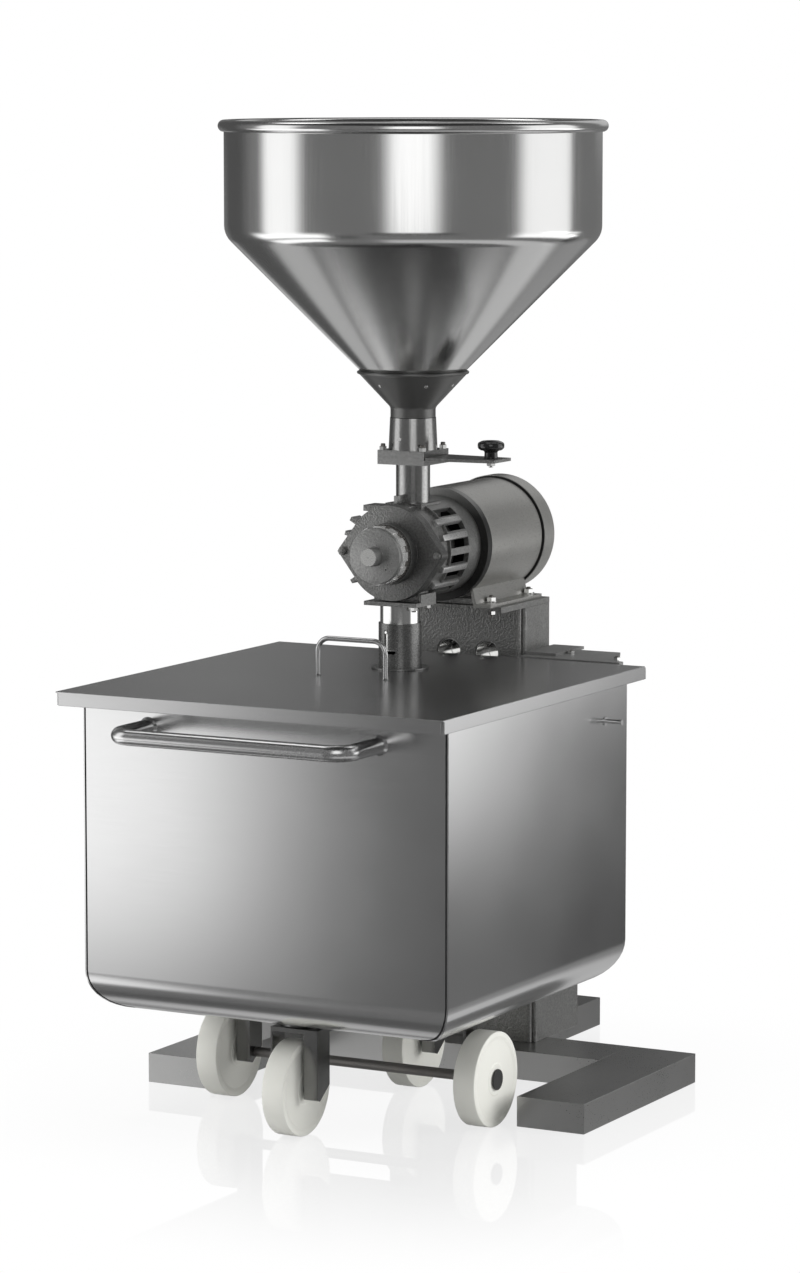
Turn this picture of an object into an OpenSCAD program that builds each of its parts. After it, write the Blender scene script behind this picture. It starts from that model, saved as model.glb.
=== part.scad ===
// Free-standing shop coffee grinder: hopper, disc mill, motor, column, and a wheeled bin under the outlet.
// Lengths in millimetres. X across the front, Y to the back, Z up; zero is the middle of the footprint.

/* [Base] */
// half width over the two floor arms
base_half_w = 418; // [404:1:430]
// width of one floor arm
arm_w = 124; // [100:1:128]
// thickness of all base bars
base_t = 51; // [40:1:56]
// reach of the arms in front of the hopper axis
arm_front = 187; // [150:1:198]
// back face of the arms, behind the hopper axis
arm_back = 254; // [246:1:300]
// depth of the cross bar
cross_d = 124; // [110:1:128]
// half width of the tail bar
tail_half_w = 66; // [50:1:100]
// back end of the tail bar, behind the hopper axis
tail_back = 607; // [580:1:640]

/* [Column] */
// half width of the lower column
col_half_w = 135; // [125:1:145]
// front face of the column body, behind the hopper axis
col_front = 203; // [200:1:208]
// depth of the lower column
col_d = 167; // [150:1:180]
// height of the column head, from the shoulder to the rails
head_h = 173; // [140:1:240]
// sheet of the column
col_wall = 8; // [5:0.5:10]
// how far the cover panels stand out
panel_out = 8; // [6:0.5:10]
// rounding of the panel edges
panel_r = 5; // [3:0.5:5.5]
// setback of the panel edge from the column side
panel_in = 7; // [5:0.5:9]
// half width of the column head
head_half_w = 108; // [106:0.5:112]
// depth of the column head
head_d = 94; // [85:1:105]
// radius of the cable ports
port_r = 23; // [18:0.5:26]
// half distance between the cable ports
port_x = 37; // [32:0.5:42]
// cable ports below the rails
port_drop = 83; // [79:1:91]
// wall of the port liners
port_wall = 2; // [1:0.25:3]
// thickness of the motor rails and head plate
rail_t = 10; // [8:0.5:12]
// width of one motor rail
rail_w = 42; // [40:0.5:46]
// reach of the rails in front of the head
rail_reach = 92; // [80:1:98]

/* [Docking bracket] */
// thickness of the bracket plates
dock_t = 5; // [4:0.5:6]
// underside of the lower bracket plate below the rails
dock_drop = 86; // [83:1:91]
// reach of the wide plate to the side
dock_reach = 192; // [170:1:210]
// reach of the upper plate to the side
dock_top_reach = 59; // [50:1:70]
// length of the upper plate along the head
dock_top_len = 112; // [100:1:120]

/* [Motor] */
// height of the shaft above the lid of the bin
shaft_rise = 198; // [193:1:208]
// radius of the motor shell
motor_r = 98; // [96:0.5:99]
// front face of the motor flange, behind the hopper axis
motor_front = 89; // [86:0.5:94]
// length of the motor up to the fan cover
motor_len = 206; // [200:1:214]
// thickness of the motor flange
shield_t = 16; // [12:0.5:18]
// wall of the motor shell
motor_wall = 17; // [16:0.5:19]
// rear wall of the motor shell
motor_end_t = 8; // [6:0.5:10]
// radius of the fan cover
fan_cover_r = 102; // [100:0.5:104]
// length of the fan cover
fan_cover_len = 46; // [42:1:52]
// sheet of the fan cover
fan_cover_t = 2.5; // [1.5:0.25:3]
// rounding of the fan cover
fan_cover_round = 12; // [8:0.5:14]
// depth of the groove between shell and cover
groove_d = 5; // [3:0.5:7]
// width of that groove
groove_w = 4; // [3:0.5:5]
// radius of the motor shaft
shaft_r = 14; // [12:0.5:15]
// running gap of the shaft in its seats, on the radius
shaft_gap = 0.06; // [0.02:0.01:0.1]
// air gap between rotor and stator
air_gap = 0.8; // [0.5:0.1:1.2]
// radius of the rotor core
rotor_r = 50; // [45:1:54]
// height of the shaft above the motor feet
foot_drop = 107; // [106:0.5:110]
// thickness of the foot sheets
foot_t = 6; // [5:0.5:7]
// outer edge of the motor feet
foot_x = 98; // [95:0.5:102]
// foot bolt line from the middle
foot_bolt_x = 77; // [76:0.5:78]
// length of a foot
foot_len = 196; // [184:1:204]
// radius of the fan
fan_r = 78; // [70:1:88]

/* [Mill housing] */
// radius of the lantern between mill and motor
lantern_r = 84; // [82:0.5:86]
// wall of the lantern
lantern_wall = 9; // [7:0.5:10]
// front of the milling chamber, in front of the hopper axis
chamber_front = 60; // [58:0.5:62]
// back of the milling chamber, in front of the hopper axis
chamber_back = 22; // [20:0.5:23]
// radius of the milling chamber
chamber_r = 79; // [78:0.5:80]
// bore of the milling chamber
chamber_bore = 66; // [65:0.5:68]
// back end of the lantern windows, behind the hopper axis
window_back = 45; // [40:1:50]
// radius of the feed barrel
barrel_r = 57; // [50:1:60]
// bore of the feed barrel
barrel_bore = 27; // [26:0.25:28]
// half width of a lantern window
window_half = 8.5; // [7:0.5:10]
// thickness of the front cover
cover_t = 23; // [20:0.5:25]
// radius of the front cover
cover_r = 81; // [80:0.5:82]
// half width over the ears of the front cover
cover_ear = 99; // [96:0.5:102]
// radius of the ears' rounded tips
ear_r = 9; // [7:0.5:11]
// radius of the hub on the front cover
hub_r = 52; // [51:0.5:54]
// length of the hub on the front cover
hub_len = 20; // [17:0.5:22]
// radius of the burr discs
burr_r = 60; // [57:0.5:62]
// thickness of one burr disc
burr_t = 9; // [8:0.25:9.5]
// gap between the burr discs
burr_gap = 1; // [0.6:0.1:1.5]
// thickness of the feed screw flight
flight_t = 3; // [2:0.5:4]
// gap of the feed screw in its barrel
flight_gap = 3; // [1:0.5:4]

/* [Adjusting ring] */
// radius of the notched ring
ring_r = 49.5; // [49:0.25:50.5]
// length of the notched ring
ring_len = 26; // [24:0.5:30]
// radius of the ring cap
cap_r = 47.5; // [46:0.25:48.5]
// length of the ring cap
cap_len = 8; // [6:0.5:9]
// radius of the centre boss
boss_r = 16; // [14:0.5:18]
// length of the centre boss
boss_len = 22; // [18:0.5:26]
// gap between faces that turn or slide past each other
play = 0.4; // [0.3:0.05:0.6]
// radius of the adjusting spindle
spindle_r = 20; // [18:0.5:21]
// running gap of the spindle, on the radius
spindle_gap = 0.08; // [0.03:0.01:0.1]

/* [Feed] */
// radius of the inlet tube
inlet_r = 29; // [28:0.25:30]
// bore of the inlet tube
inlet_bore = 24; // [22:0.5:25]
// foot of the inlet tube above the shaft
inlet_rise = 80; // [79:0.5:80]
// height of the lower flange above the shaft
flange_rise = 146; // [138:1:154]
// half width of the square flanges
flange_half = 44.5; // [44:0.25:46]
// radius of all bolts
bolt_r = 4; // [3.5:0.1:4.2]
// thickness of the lower flange under the gate slot
flange_t = 8; // [7:0.25:9]
// thickness of the upper flange
upper_flange_t = 10; // [8:0.5:12]
// height of the gate slot
slot_h = 6; // [5:0.25:7]
// side gap of the gate in its slot
gate_gap = 0.35; // [0.3:0.05:0.6]
// half width of the gate plate
gate_half = 30.5; // [30:0.25:31]
// end of the gate arm from the hopper axis
arm_end = 170; // [160:1:180]
// half width of the gate arm at its end
arm_end_half = 31; // [26:0.5:34]
// half width of the gate arm at the flange
arm_root_half = 43; // [36:0.5:44]
// distance of the gate knob from the hopper axis
knob_x = 148; // [140:1:154]
// radius of the gate knob
knob_r = 22.5; // [18:0.5:25]
// radius of the knob stem
knob_stem_r = 11.5; // [9:0.5:13]
// height of the knob stem
knob_stem_h = 14; // [11:0.5:18]
// height of the knob cap
knob_cap_h = 16; // [12:0.5:18]
// flange bolt line from the axis
flange_bolt = 37.5; // [37:0.25:38]
// length of the neck sleeve
neck_len = 54; // [48:1:60]
// radius of the neck sleeve at its foot
neck_r = 41.5; // [40:0.25:42]
// taper of the neck sleeve, on the radius
neck_taper = 2.5; // [1.5:0.25:3]
// bore at the top of the neck
throat_r = 33.3; // [32:0.25:34]
// free neck between sleeve and collar
neck_free = 23; // [19:0.5:26]
// height of the collar cone
collar_h = 55.5; // [50:0.5:60]
// how far the collar's outer cone starts below its inner one
collar_drop = 6; // [4:0.5:7]
// wall of the collar, on the radius
collar_wall = 5; // [4:0.25:5.5]

/* [Hopper] */
// radius of the hopper
hopper_r = 318; // [300:1:330]
// height of the hopper cone above the neck
hopper_cone_h = 285; // [266:1:296]
// height of the hopper cylinder
hopper_wall_h = 182; // [160:1:196]
// sheet of the hopper
hopper_t = 2.5; // [1.5:0.25:3]
// radius of the rolled rim
hopper_bead = 10; // [7:0.5:12]

/* [Outlet] */
// distance of the outlet in front of the hopper axis
outlet_y = 47; // [46:0.5:48]
// radius of the outlet tube
outlet_r = 33.6; // [32:0.2:34]
// bore of the outlet tube
outlet_bore = 29.5; // [28:0.5:30]
// top of the outlet plate below the shaft
outlet_drop = 83; // [82.5:0.5:84]
// thickness of the outlet plate
outlet_plate_t = 7; // [6:0.5:8]
// half width of the outlet plate
outlet_plate_x = 50; // [46:0.5:52]
// half depth of the outlet plate
outlet_plate_y = 36; // [35:0.5:37]
// foot of the outlet tube above the lid
tube_lift = 32; // [30:1:42]
// wall of the outlet sleeve
sleeve_wall = 2.6; // [1.5:0.1:3]
// running gap of the sleeve, on the radius
sleeve_gap = 0.08; // [0.03:0.01:0.1]
// length of the outlet sleeve
sleeve_len = 77.5; // [71:0.5:78]
// radius of the sleeve flange
sleeve_flange_r = 48.8; // [44:0.5:56]
// gap between the sleeve and the lid
sleeve_play = 0.35; // [0.3:0.05:0.5]
// width of the bayonet slot
slot_w = 7; // [6:0.5:8]
// length of the bayonet slot
slot_len = 40; // [34:0.5:44]
// top of the bayonet slot below the top of the sleeve
slot_drop = 11; // [9:0.5:14]
// turn of the bayonet slot to the side
slot_turn = 13; // [5:1:20]

/* [Bin] */
// half width of the bin
bin_half_w = 338; // [320:1:350]
// front face of the bin, in front of the hopper axis
bin_front = 517; // [500:1:530]
// back face of the bin, behind the hopper axis
bin_back = 137; // [134:1:145]
// underside of the bin
bin_bottom = 194; // [190:1:204]
// top rim of the bin
bin_top = 729.5; // [722:0.5:732]
// sheet of the bin and lid
bin_t = 2.5; // [1.5:0.25:3]
// width of the dark seam beside each side plate
seam_w = 3; // [2:0.25:4]
// how far the seam sits back from the sheet
seam_in = 1.2; // [0.75:0.05:1.25]
// radius of the front bottom bend
bend_front = 66; // [50:1:72]
// radius of the back bottom bend
bend_back = 72; // [50:1:74]
// radius of the side bottom bends
bend_side = 70; // [50:1:90]
// side overhang of the lid
lid_side = 18.5; // [12:0.5:24]
// front overhang of the lid
lid_front = 54.5; // [44:0.5:60]
// back overhang of the lid
lid_back = 36; // [20:1:42]
// depth of the lid edges
lid_edge = 23; // [16:0.5:28]
// radius of the spout hole in the lid
lid_hole_r = 31; // [29:0.5:34]

/* [Handles] */
// radius of the push handle tube
push_r = 13.5; // [11:0.5:15]
// reach of the push handle from the bin
push_reach = 113; // [100:1:125]
// half distance between the push handle legs
push_half = 213; // [180:1:240]
// drop of the push handle below the lid's top
push_drop = 56; // [48:1:92]
// bend radius of the push handle
push_bend = 32; // [28:1:40]
// radius of the lid handle rod
grip_r = 4.3; // [3.5:0.1:5.5]
// left foot of the lid handle from the middle
grip_left = 78; // [70:1:90]
// right foot of the lid handle from the middle
grip_right = 50; // [42:1:60]
// distance of the lid handle in front of the hopper axis
grip_y = 192; // [180:1:210]
// height of the lid handle over the lid
grip_h = 63; // [50:1:72]
// bend radius of the lid handle
grip_bend = 22; // [15:0.5:26]
// radius of the side pins
pin_r = 4; // [3:0.25:5]
// length of the side pins
pin_len = 30; // [24:1:34]
// drop of the side pins below the lid's top
pin_drop = 81; // [62:1:102]
// side pins behind the hopper axis
pin_y = 52; // [30:1:70]

/* [Wheels] */
// radius of all wheels
wheel_r = 80; // [76:0.5:80]
// width of all wheels
wheel_w = 40; // [34:0.5:42]
// middle of a fixed wheel from the middle
wheel_x = 245; // [240:1:250]
// wheel axle in front of the hopper axis
wheel_y = 205; // [201:1:209]
// radius of the wheel axle
axle_r = 8.5; // [7:0.25:10]
// running gap of the wheels, on the radius
wheel_gap = 0.06; // [0.02:0.01:0.1]
// side gap beside a wheel
wheel_side = 0.5; // [0.4:0.1:1.5]
// radius of the axle end caps
axle_cap_r = 17.5; // [14:0.5:20]
// width of a wheel bracket
bracket_w = 26; // [20:0.5:30]
// depth of brackets and fork legs
bracket_d = 42; // [36:1:46]
// foot of brackets and fork legs
bracket_z = 63; // [58:0.5:66]
// front swivel axis in front of the hopper axis
caster_front = 392; // [387:1:397]
// rear swivel axis behind the hopper axis
caster_rear = 21; // [14:1:21]
// how far the swivel wheels stand in front of their axes
trail = 17; // [13:1:21]
// radius of the king pin
king_r = 10; // [8:0.25:12]
// running gap of the king pin, on the radius
king_gap = 0.06; // [0.02:0.01:0.1]
// thickness of the fork crown
crown_t = 8; // [6:0.5:9]
// height of the fork crown over the wheel
crown_gap = 14; // [10:0.5:15]
// radius of the swivel race
race_r = 34; // [30:0.5:38]
// width of the plain fork leg
leg_t = 4; // [3:0.25:5]
// side gap of the fork legs
leg_gap = 6; // [5:0.5:8]

/* [Hidden] */
$fn = 96;
// steps of the drawn bends
steps = 10;
// the zero of the part sits in the middle of the footprint
back_all = tail_back;
front_all = bin_front + push_reach + push_r;
axis_y = (front_all - back_all)/2;
// overrun of a cut through a piece
over = 5;
// the lid of the bin carries the height of the mill
lid_top = bin_top + bin_t;
push_z = lid_top - push_drop;
pin_z = lid_top - pin_drop;
shaft_z = lid_top + shaft_rise;
// column and head
rail_top = shaft_z - foot_drop;
head_top = rail_top - rail_t;
col_top = head_top - head_h;
port_z = head_top - port_drop;
dock_z = head_top - dock_drop;
head_front = col_front + (col_wall + panel_out)/2;
// mill lengths, measured from the hopper axis to the front
cover_front = chamber_front + cover_t;
hub_front = cover_front + hub_len;
ring_back = hub_front + play;
ring_front = ring_back + ring_len;
cap_front = ring_front + cap_len;
ear_x = cover_ear - ear_r;
burr_back = chamber_front - 2*burr_t - burr_gap;
motor_back = motor_front + motor_len;
// feed heights
flange_z = shaft_z + flange_rise;
slot_z = flange_z + flange_t;
upper_z = slot_z + slot_h;
sleeve_z = upper_z + upper_flange_t;
neck_top = sleeve_z + neck_len;
cone_z = neck_top + neck_free;
cone_k = (hopper_r - throat_r)/hopper_cone_h;
bend_z = cone_z + hopper_cone_h;
rim_z = bend_z + hopper_wall_h;
collar_lip = collar_wall*0.5;
collar_k = (collar_h*cone_k - collar_lip)/(collar_h + collar_drop - 2*collar_lip);
seat_rise = collar_h*0.4;
// outlet heights
plate_top = shaft_z - outlet_drop;
plate_z = plate_top - outlet_plate_t;
sleeve_foot = lid_top + sleeve_play;
screw_z = sleeve_foot + sleeve_len - slot_drop - slot_w*0.5;
tube_z = lid_top + tube_lift;
outlet_len = plate_z - tube_z;
nut_r = bolt_r*1.85;
nut_h = bolt_r*1.5;
// running gear
crown_z = 2*wheel_r + crown_gap;

module at_axis() {
    translate([0, axis_y, 0]) children();
}
module block(x0, x1, y0, y1, z0, z1) {
    translate([x0, y0, z0]) cube([x1 - x0, y1 - y0, z1 - z0]);
}
module rod_x(r, x0, x1, y, z) {
    translate([x0, y, z]) rotate([0, 90, 0]) cylinder(r = r, h = x1 - x0);
}
// round bar on the shaft line from y0 to y1
module shaft_rod(r, y0, y1) {
    translate([0, y0, shaft_z]) rotate([-90, 0, 0]) cylinder(r = r, h = y1 - y0);
}
// flat shape drawn in X and Z, its back at y and its front t nearer
module front_plate(y, t) {
    translate([0, y, 0]) rotate([90, 0, 0]) linear_extrude(t) children();
}
// flat shape drawn in Y and Z, from x to x + t
module side_plate(x, t) {
    translate([x, 0, 0]) rotate([90, 0, 90]) linear_extrude(t) children();
}
module hexagon(r, h) {
    cylinder(r = r, h = h, $fn = 6);
}
// hexagon on a line along Y
module hex_y(x, y, z, r, h) {
    translate([x, y, z]) rotate([90, 0, 0]) cylinder(r = r, h = h, $fn = 6);
}
function round_point(cx, cy, r, a) = [cx + r*cos(a), cy + r*sin(a)];
function arc(cx, cy, r, a, b) = [for (i = [0:steps]) round_point(cx, cy, r, a + (b - a)*i/steps)];
// box footprint with its two front corners rounded
module rounded_front(x0, x1, y0, y1, r) {
    polygon(concat([[x1, y1], [x0, y1]], arc(x0 + r, y0 + r, r, 180, 270), arc(x1 - r, y0 + r, r, 270, 360)));
}

module base_bar(x0, x1, y0, y1) {
    at_axis() block(x0, x1, y0, y1, 0, base_t);
}
module base_left_arm() {
    color("dimgray") base_bar(-base_half_w, arm_w - base_half_w, -arm_front, arm_back);
}
module base_right_arm() {
    color("dimgray") base_bar(base_half_w - arm_w, base_half_w, -arm_front, arm_back);
}
module base_cross_bar() {
    color("dimgray") base_bar(arm_w - base_half_w, base_half_w - arm_w, arm_back - cross_d, arm_back);
}
module base_tail_bar() {
    color("dimgray") base_bar(-tail_half_w, tail_half_w, arm_back, tail_back);
}

// three sided channel, open to the front, from z0 to z1
module channel(half, y0, d, z0, z1) {
    translate([0, 0, z0]) linear_extrude(z1 - z0) difference() {
        rounded_front(-half, half, y0, y0 + d, panel_r);
        translate([col_wall - half, y0 - col_wall]) square([2*half - 2*col_wall, d]);
    }
}
module panel(half, y0, z0, z1) {
    translate([0, 0, z0]) linear_extrude(z1 - z0)
        rounded_front(panel_in - half, half - panel_in, y0 - panel_out, y0, panel_r);
}
module column_body() {
    color("dimgray") at_axis() channel(col_half_w, col_front, col_d, base_t, col_top - col_wall);
}
module column_cover() {
    color("dimgray") at_axis() panel(col_half_w, col_front, base_t, col_top - col_wall);
}
module head_body() {
    color("dimgray") at_axis() {
        block(-col_half_w, col_half_w, col_front - panel_out, col_front + col_d, col_top - col_wall, col_top);
        channel(head_half_w, head_front, head_d, col_top, head_top);
    }
}
module head_cover() {
    color("dimgray") at_axis() difference() {
        panel(head_half_w, head_front, col_top, head_top);
        for (s = [-1, 1]) translate([s*port_x, head_front + panel_out, port_z])
            rotate([90, 0, 0]) cylinder(r = port_r, h = 3*panel_out);
    }
}
module port_liners() {
    color("silver") at_axis() for (s = [-1, 1]) difference() {
        translate([s*port_x, head_front + head_d*0.5, port_z]) rotate([90, 0, 0])
            cylinder(r = port_r, h = head_d*0.5 + panel_out*0.75);
        translate([s*port_x, head_front + head_d*0.45, port_z]) rotate([90, 0, 0])
            cylinder(r = port_r - port_wall, h = head_d);
    }
}
module motor_rails() {
    t = rail_t*0.5;
    x = head_half_w;
    y0 = head_front - rail_reach;
    y1 = head_front + head_d;
    color("dimgray") at_axis() difference() {
        union() {
            block(-x, x, head_front, y1, rail_top - t, rail_top);
            block(-x, x, head_front, head_front + t, head_top, rail_top);
            for (s = [0, 1]) mirror([s, 0, 0]) {
                block(x - rail_w, x, y0, y1, rail_top - t, rail_top);
                block(x - t, x, y0, y1, head_top, rail_top);
            }
        }
        foot_bolt_places() translate([0, 0, -2*rail_t]) cylinder(r = bolt_r, h = 3*rail_t);
    }
}
module dock_bracket() {
    a = head_half_w;
    y = head_front;
    l = dock_top_len;
    color("gray") at_axis() difference() {
        union() {
            translate([0, 0, dock_z]) linear_extrude(dock_t)
                polygon([[a, y - l*0.22], [a + dock_reach, y - l*0.22], [a + dock_reach, y - l*0.08],
                    [a + dock_reach*0.94, y - l*0.04], [a + dock_reach*0.7, y + l*0.9], [a, y + l*0.9]]);
            translate([0, 0, dock_z + dock_t]) linear_extrude(dock_t)
                polygon([[a, y], [a + dock_top_reach, y], [a + dock_top_reach, y + l], [a, y + l]]);
        }
        for (p = [0.35, 0.9]) translate([a + dock_reach*p, y + l*(0.6 - 0.6*p), dock_z - dock_t])
            cylinder(r = bolt_r, h = 3*dock_t);
    }
}

// motor
module motor_shell() {
    color("gray") at_axis() difference() {
        union() {
            shaft_rod(motor_r, motor_front + shield_t, motor_back);
            shaft_rod(motor_r - groove_d, motor_back, motor_back + groove_w);
        }
        shaft_rod(motor_r - motor_wall, motor_front, motor_back - motor_end_t);
        shaft_rod(shaft_r + shaft_gap, motor_front, motor_back + 3*groove_w);
    }
}
module motor_flange() {
    color("dimgray") at_axis() difference() {
        shaft_rod(motor_r, motor_front, motor_front + shield_t);
        shaft_rod(shaft_r + shaft_gap, 0, 2*motor_back);
    }
}
module stator_core() {
    color("darkgray") at_axis() difference() {
        shaft_rod(motor_r - motor_wall, motor_front + shield_t*2, motor_back - motor_end_t*3);
        shaft_rod(rotor_r + air_gap, 0, 2*motor_back);
    }
}
module rotor_core() {
    color("silver") at_axis() difference() {
        shaft_rod(rotor_r, motor_front + shield_t*2.5, motor_back - motor_end_t*4);
        shaft_rod(shaft_r, 0, 2*motor_back);
    }
}
module motor_shaft() {
    color("silver") at_axis() union() {
        shaft_rod(shaft_r, -burr_back - burr_t*0.7, motor_back + groove_w + fan_cover_len*0.6);
        shaft_rod(shaft_r*1.35, window_back*1.15, motor_front - play*3);
    }
}
module cooling_fan() {
    y0 = motor_back + groove_w + fan_cover_len*0.12;
    y1 = motor_back + groove_w + fan_cover_len*0.6;
    color("black") at_axis() difference() {
        union() {
            shaft_rod(shaft_r*1.5, y0, y1);
            shaft_rod(fan_r, y0, y0 + fan_cover_t);
            for (i = [0:7]) translate([0, y0 + fan_cover_t/2, shaft_z]) rotate([0, i*45, 0])
                translate([-fan_cover_t/2, 0, shaft_r*1.2])
                    cube([fan_cover_t, (y1 - y0)*0.8, fan_r - shaft_r*1.3]);
        }
        shaft_rod(shaft_r, 0, 2*motor_back);
    }
}
module fan_cover() {
    y0 = motor_back + groove_w;
    l = fan_cover_len;
    t = fan_cover_t;
    q = fan_cover_round;
    r = fan_cover_r;
    color("gray") at_axis() difference() {
        translate([0, y0, shaft_z]) rotate([-90, 0, 0]) rotate_extrude()
            polygon(concat([[0, l], [0, l - t]], arc(r - q, l - q, q - t, 90, 0),
                [[r - t, t], [motor_r - groove_d, t], [motor_r - groove_d, 0], [r, 0]],
                arc(r - q, l - q, q, 0, 90)));
        for (i = [0:11]) translate([0, y0 + l/2, shaft_z]) rotate([0, i*30, 0])
            translate([r*0.55, 0, 0]) rotate([-90, 0, 0]) cylinder(r = r*0.07, h = l);
        for (i = [0:5]) translate([0, y0 + l/2, shaft_z]) rotate([0, i*60, 0])
            translate([r*0.28, 0, 0]) rotate([-90, 0, 0]) cylinder(r = r*0.07, h = l);
    }
}
// one bent foot: flat on the rail, then up and in to the shell
module foot(s) {
    z0 = shaft_z - foot_drop;
    x1 = motor_r*0.62;
    z1 = shaft_z - sqrt(motor_r*motor_r - x1*x1);
    x2 = foot_bolt_x - nut_r*1.3;
    mirror([s, 0, 0]) translate([0, motor_front + shield_t*0.6 + foot_len, 0]) rotate([90, 0, 0])
        linear_extrude(foot_len) polygon([[foot_x, z0], [foot_x, z0 + foot_t], [x2 + foot_t*0.5, z0 + foot_t],
            [x1 + foot_t*0.4, z1 + foot_t*0.5], [x1 - foot_t*0.4, z1 + foot_t*0.3], [x2 - foot_t*0.5, z0]]);
}
module motor_feet() {
    color("dimgray") at_axis() difference() {
        for (s = [0, 1]) foot(s);
        shaft_rod(motor_r, 0, 2*motor_back);
        foot_bolt_places() translate([0, 0, -foot_t]) cylinder(r = bolt_r*1.05, h = 3*foot_t);
    }
}
module foot_bolt_places() {
    for (s = [-1, 1], u = [0.22, 0.95]) translate([s*foot_bolt_x, motor_front + shield_t*0.6 + foot_len*u,
        shaft_z - foot_drop]) children();
}
module foot_bolts() {
    color("silver") at_axis() foot_bolt_places() {
        translate([0, 0, foot_t]) hexagon(nut_r, nut_h);
        translate([0, 0, -rail_t*0.5 - nut_h*3]) cylinder(r = bolt_r, h = rail_t*0.5 + nut_h*3 + foot_t);
        translate([0, 0, -rail_t*0.5 - nut_h]) hexagon(nut_r, nut_h);
    }
}
module terminal_box() {
    y0 = motor_front + motor_len*0.35;
    y1 = motor_front + motor_len*0.75;
    h = motor_r*0.4;
    color("gray") at_axis() difference() {
        union() {
            block(-motor_r*1.42, -motor_r*0.8, y0, y1, shaft_z - h, shaft_z + h);
            block(-motor_r*1.48, -motor_r*1.42, y0 - foot_t*0.5, y1 + foot_t*0.5,
                shaft_z - h*1.08, shaft_z + h*1.08);
            translate([-motor_r*1.2, (y0 + y1)/2, shaft_z - h*1.35]) cylinder(r = h*0.3, h = h*0.6);
        }
        shaft_rod(motor_r, 0, 2*motor_back);
        translate([-motor_r*1.2, (y0 + y1)/2, shaft_z - h*1.6]) cylinder(r = h*0.17, h = h*0.45);
    }
}

// mill
module lantern_housing() {
    color("dimgray") at_axis() difference() {
        union() {
            shaft_rod(chamber_r, -chamber_front, -chamber_back);
            shaft_rod(lantern_r, -chamber_back, motor_front);
            block(-inlet_r*1.2, inlet_r*1.2, -inlet_r*1.2, inlet_r*1.2,
                shaft_z + barrel_r*0.8, shaft_z + inlet_rise);
            block(-chamber_r*0.8, chamber_r*0.3, -chamber_front, -chamber_back*0.9,
                shaft_z + chamber_r*0.85, shaft_z + inlet_rise*0.965);
            block(-outlet_plate_x*0.85, outlet_plate_x*0.85, -chamber_front, -outlet_y + outlet_plate_y*0.9,
                plate_top, shaft_z - chamber_r*0.7);
            for (a = [149, 164, 212]) translate([0, -chamber_front, shaft_z]) rotate([0, -a, 0])
                translate([chamber_r*0.9, 0, -foot_t*0.6])
                    cube([chamber_r*0.4, chamber_front*0.5, foot_t*1.2]);
        }
        // space around the feed barrel
        difference() {
            shaft_rod(lantern_r - lantern_wall, -chamber_back, motor_front*2);
            shaft_rod(barrel_r, -chamber_back*2, window_back);
            block(-inlet_r*1.2, inlet_r*1.2, -inlet_r*1.2, inlet_r*1.2, shaft_z, shaft_z + inlet_rise);
        }
        // windows
        for (a = [-50, -30, -10, 10, 30, 50, 130, 150, 170, 190, 210, 230])
            translate([0, 0, shaft_z]) rotate([0, -a, 0])
                block(lantern_r - lantern_wall*1.5, lantern_r*1.2, -chamber_back*0.9, window_back,
                    -window_half, window_half);
        shaft_rod(chamber_bore, -chamber_front*2, -chamber_back - lantern_wall*0.6);
        shaft_rod(barrel_bore, -chamber_front, window_back*0.8);
        shaft_rod(shaft_r + shaft_gap*8, -chamber_front, motor_front*2);
        translate([0, 0, shaft_z]) cylinder(r = inlet_bore, h = inlet_rise*2);
        translate([0, 0, shaft_z + inlet_rise]) cylinder(r = inlet_r + play/2, h = lantern_r);
        block(-outlet_bore*0.8, outlet_bore*0.8, -chamber_front*0.97, -chamber_back - lantern_wall*0.7,
            plate_top - inlet_rise*0.5, shaft_z);
    }
}
// a disc with a rounded ear on each side, joined by straight flanks
module cover_outline() {
    reach = cover_ear - ear_r;
    lean = acos((cover_r - ear_r)/reach);
    u = 0.995*cos(lean);
    v = 0.995*sin(lean);
    translate([0, shaft_z]) {
        circle(r = cover_r);
        for (s = [-1, 1]) {
            translate([s*reach, 0]) circle(r = ear_r);
            polygon([[0, 0], [s*cover_r*u, cover_r*v], [s*(reach + ear_r*u), ear_r*v],
                [s*(reach + ear_r*u), -ear_r*v], [s*cover_r*u, -cover_r*v]]);
        }
    }
}
module front_cover() {
    color("dimgray") at_axis() difference() {
        union() {
            front_plate(-chamber_front, cover_t) cover_outline();
            shaft_rod(hub_r, -hub_front, -cover_front);
        }
        shaft_rod(spindle_r + spindle_gap, -hub_front*2, 0);
        for (s = [-1, 1]) translate([s*ear_x, 0, shaft_z]) rotate([90, 0, 0])
            cylinder(r = bolt_r, h = cover_front*2);
    }
}
module housing_bolts() {
    color("silver") at_axis() {
        hex_y(-ear_x, -cover_front, shaft_z, nut_r, nut_h);
        translate([ear_x, -cover_front, shaft_z]) rotate([90, 0, 0]) cylinder(r = nut_r*0.85, h = nut_h*0.7);
        for (s = [-1, 1]) translate([s*ear_x, nut_h - chamber_front, shaft_z]) rotate([90, 0, 0])
            cylinder(r = bolt_r, h = cover_t + nut_h);
        outlet_bolt_places() {
            translate([0, 0, -nut_h]) hexagon(nut_r*0.9, nut_h);
            translate([0, 0, -nut_h*1.4]) cylinder(r = bolt_r, h = outlet_plate_t + nut_h*1.4);
        }
    }
}
module outlet_bolt_places() {
    for (p = [[-0.72, 0.62], [0.8, -0.7], [0.8, 0.62]])
        translate([outlet_plate_x*p[0], -outlet_y + outlet_plate_y*p[1], plate_z]) children();
}
module fixed_burr() {
    color("silver") at_axis() difference() {
        shaft_rod(burr_r, -chamber_front, -chamber_front + burr_t);
        shaft_rod(spindle_r*1.3, -chamber_front*2, 0);
    }
}
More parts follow.
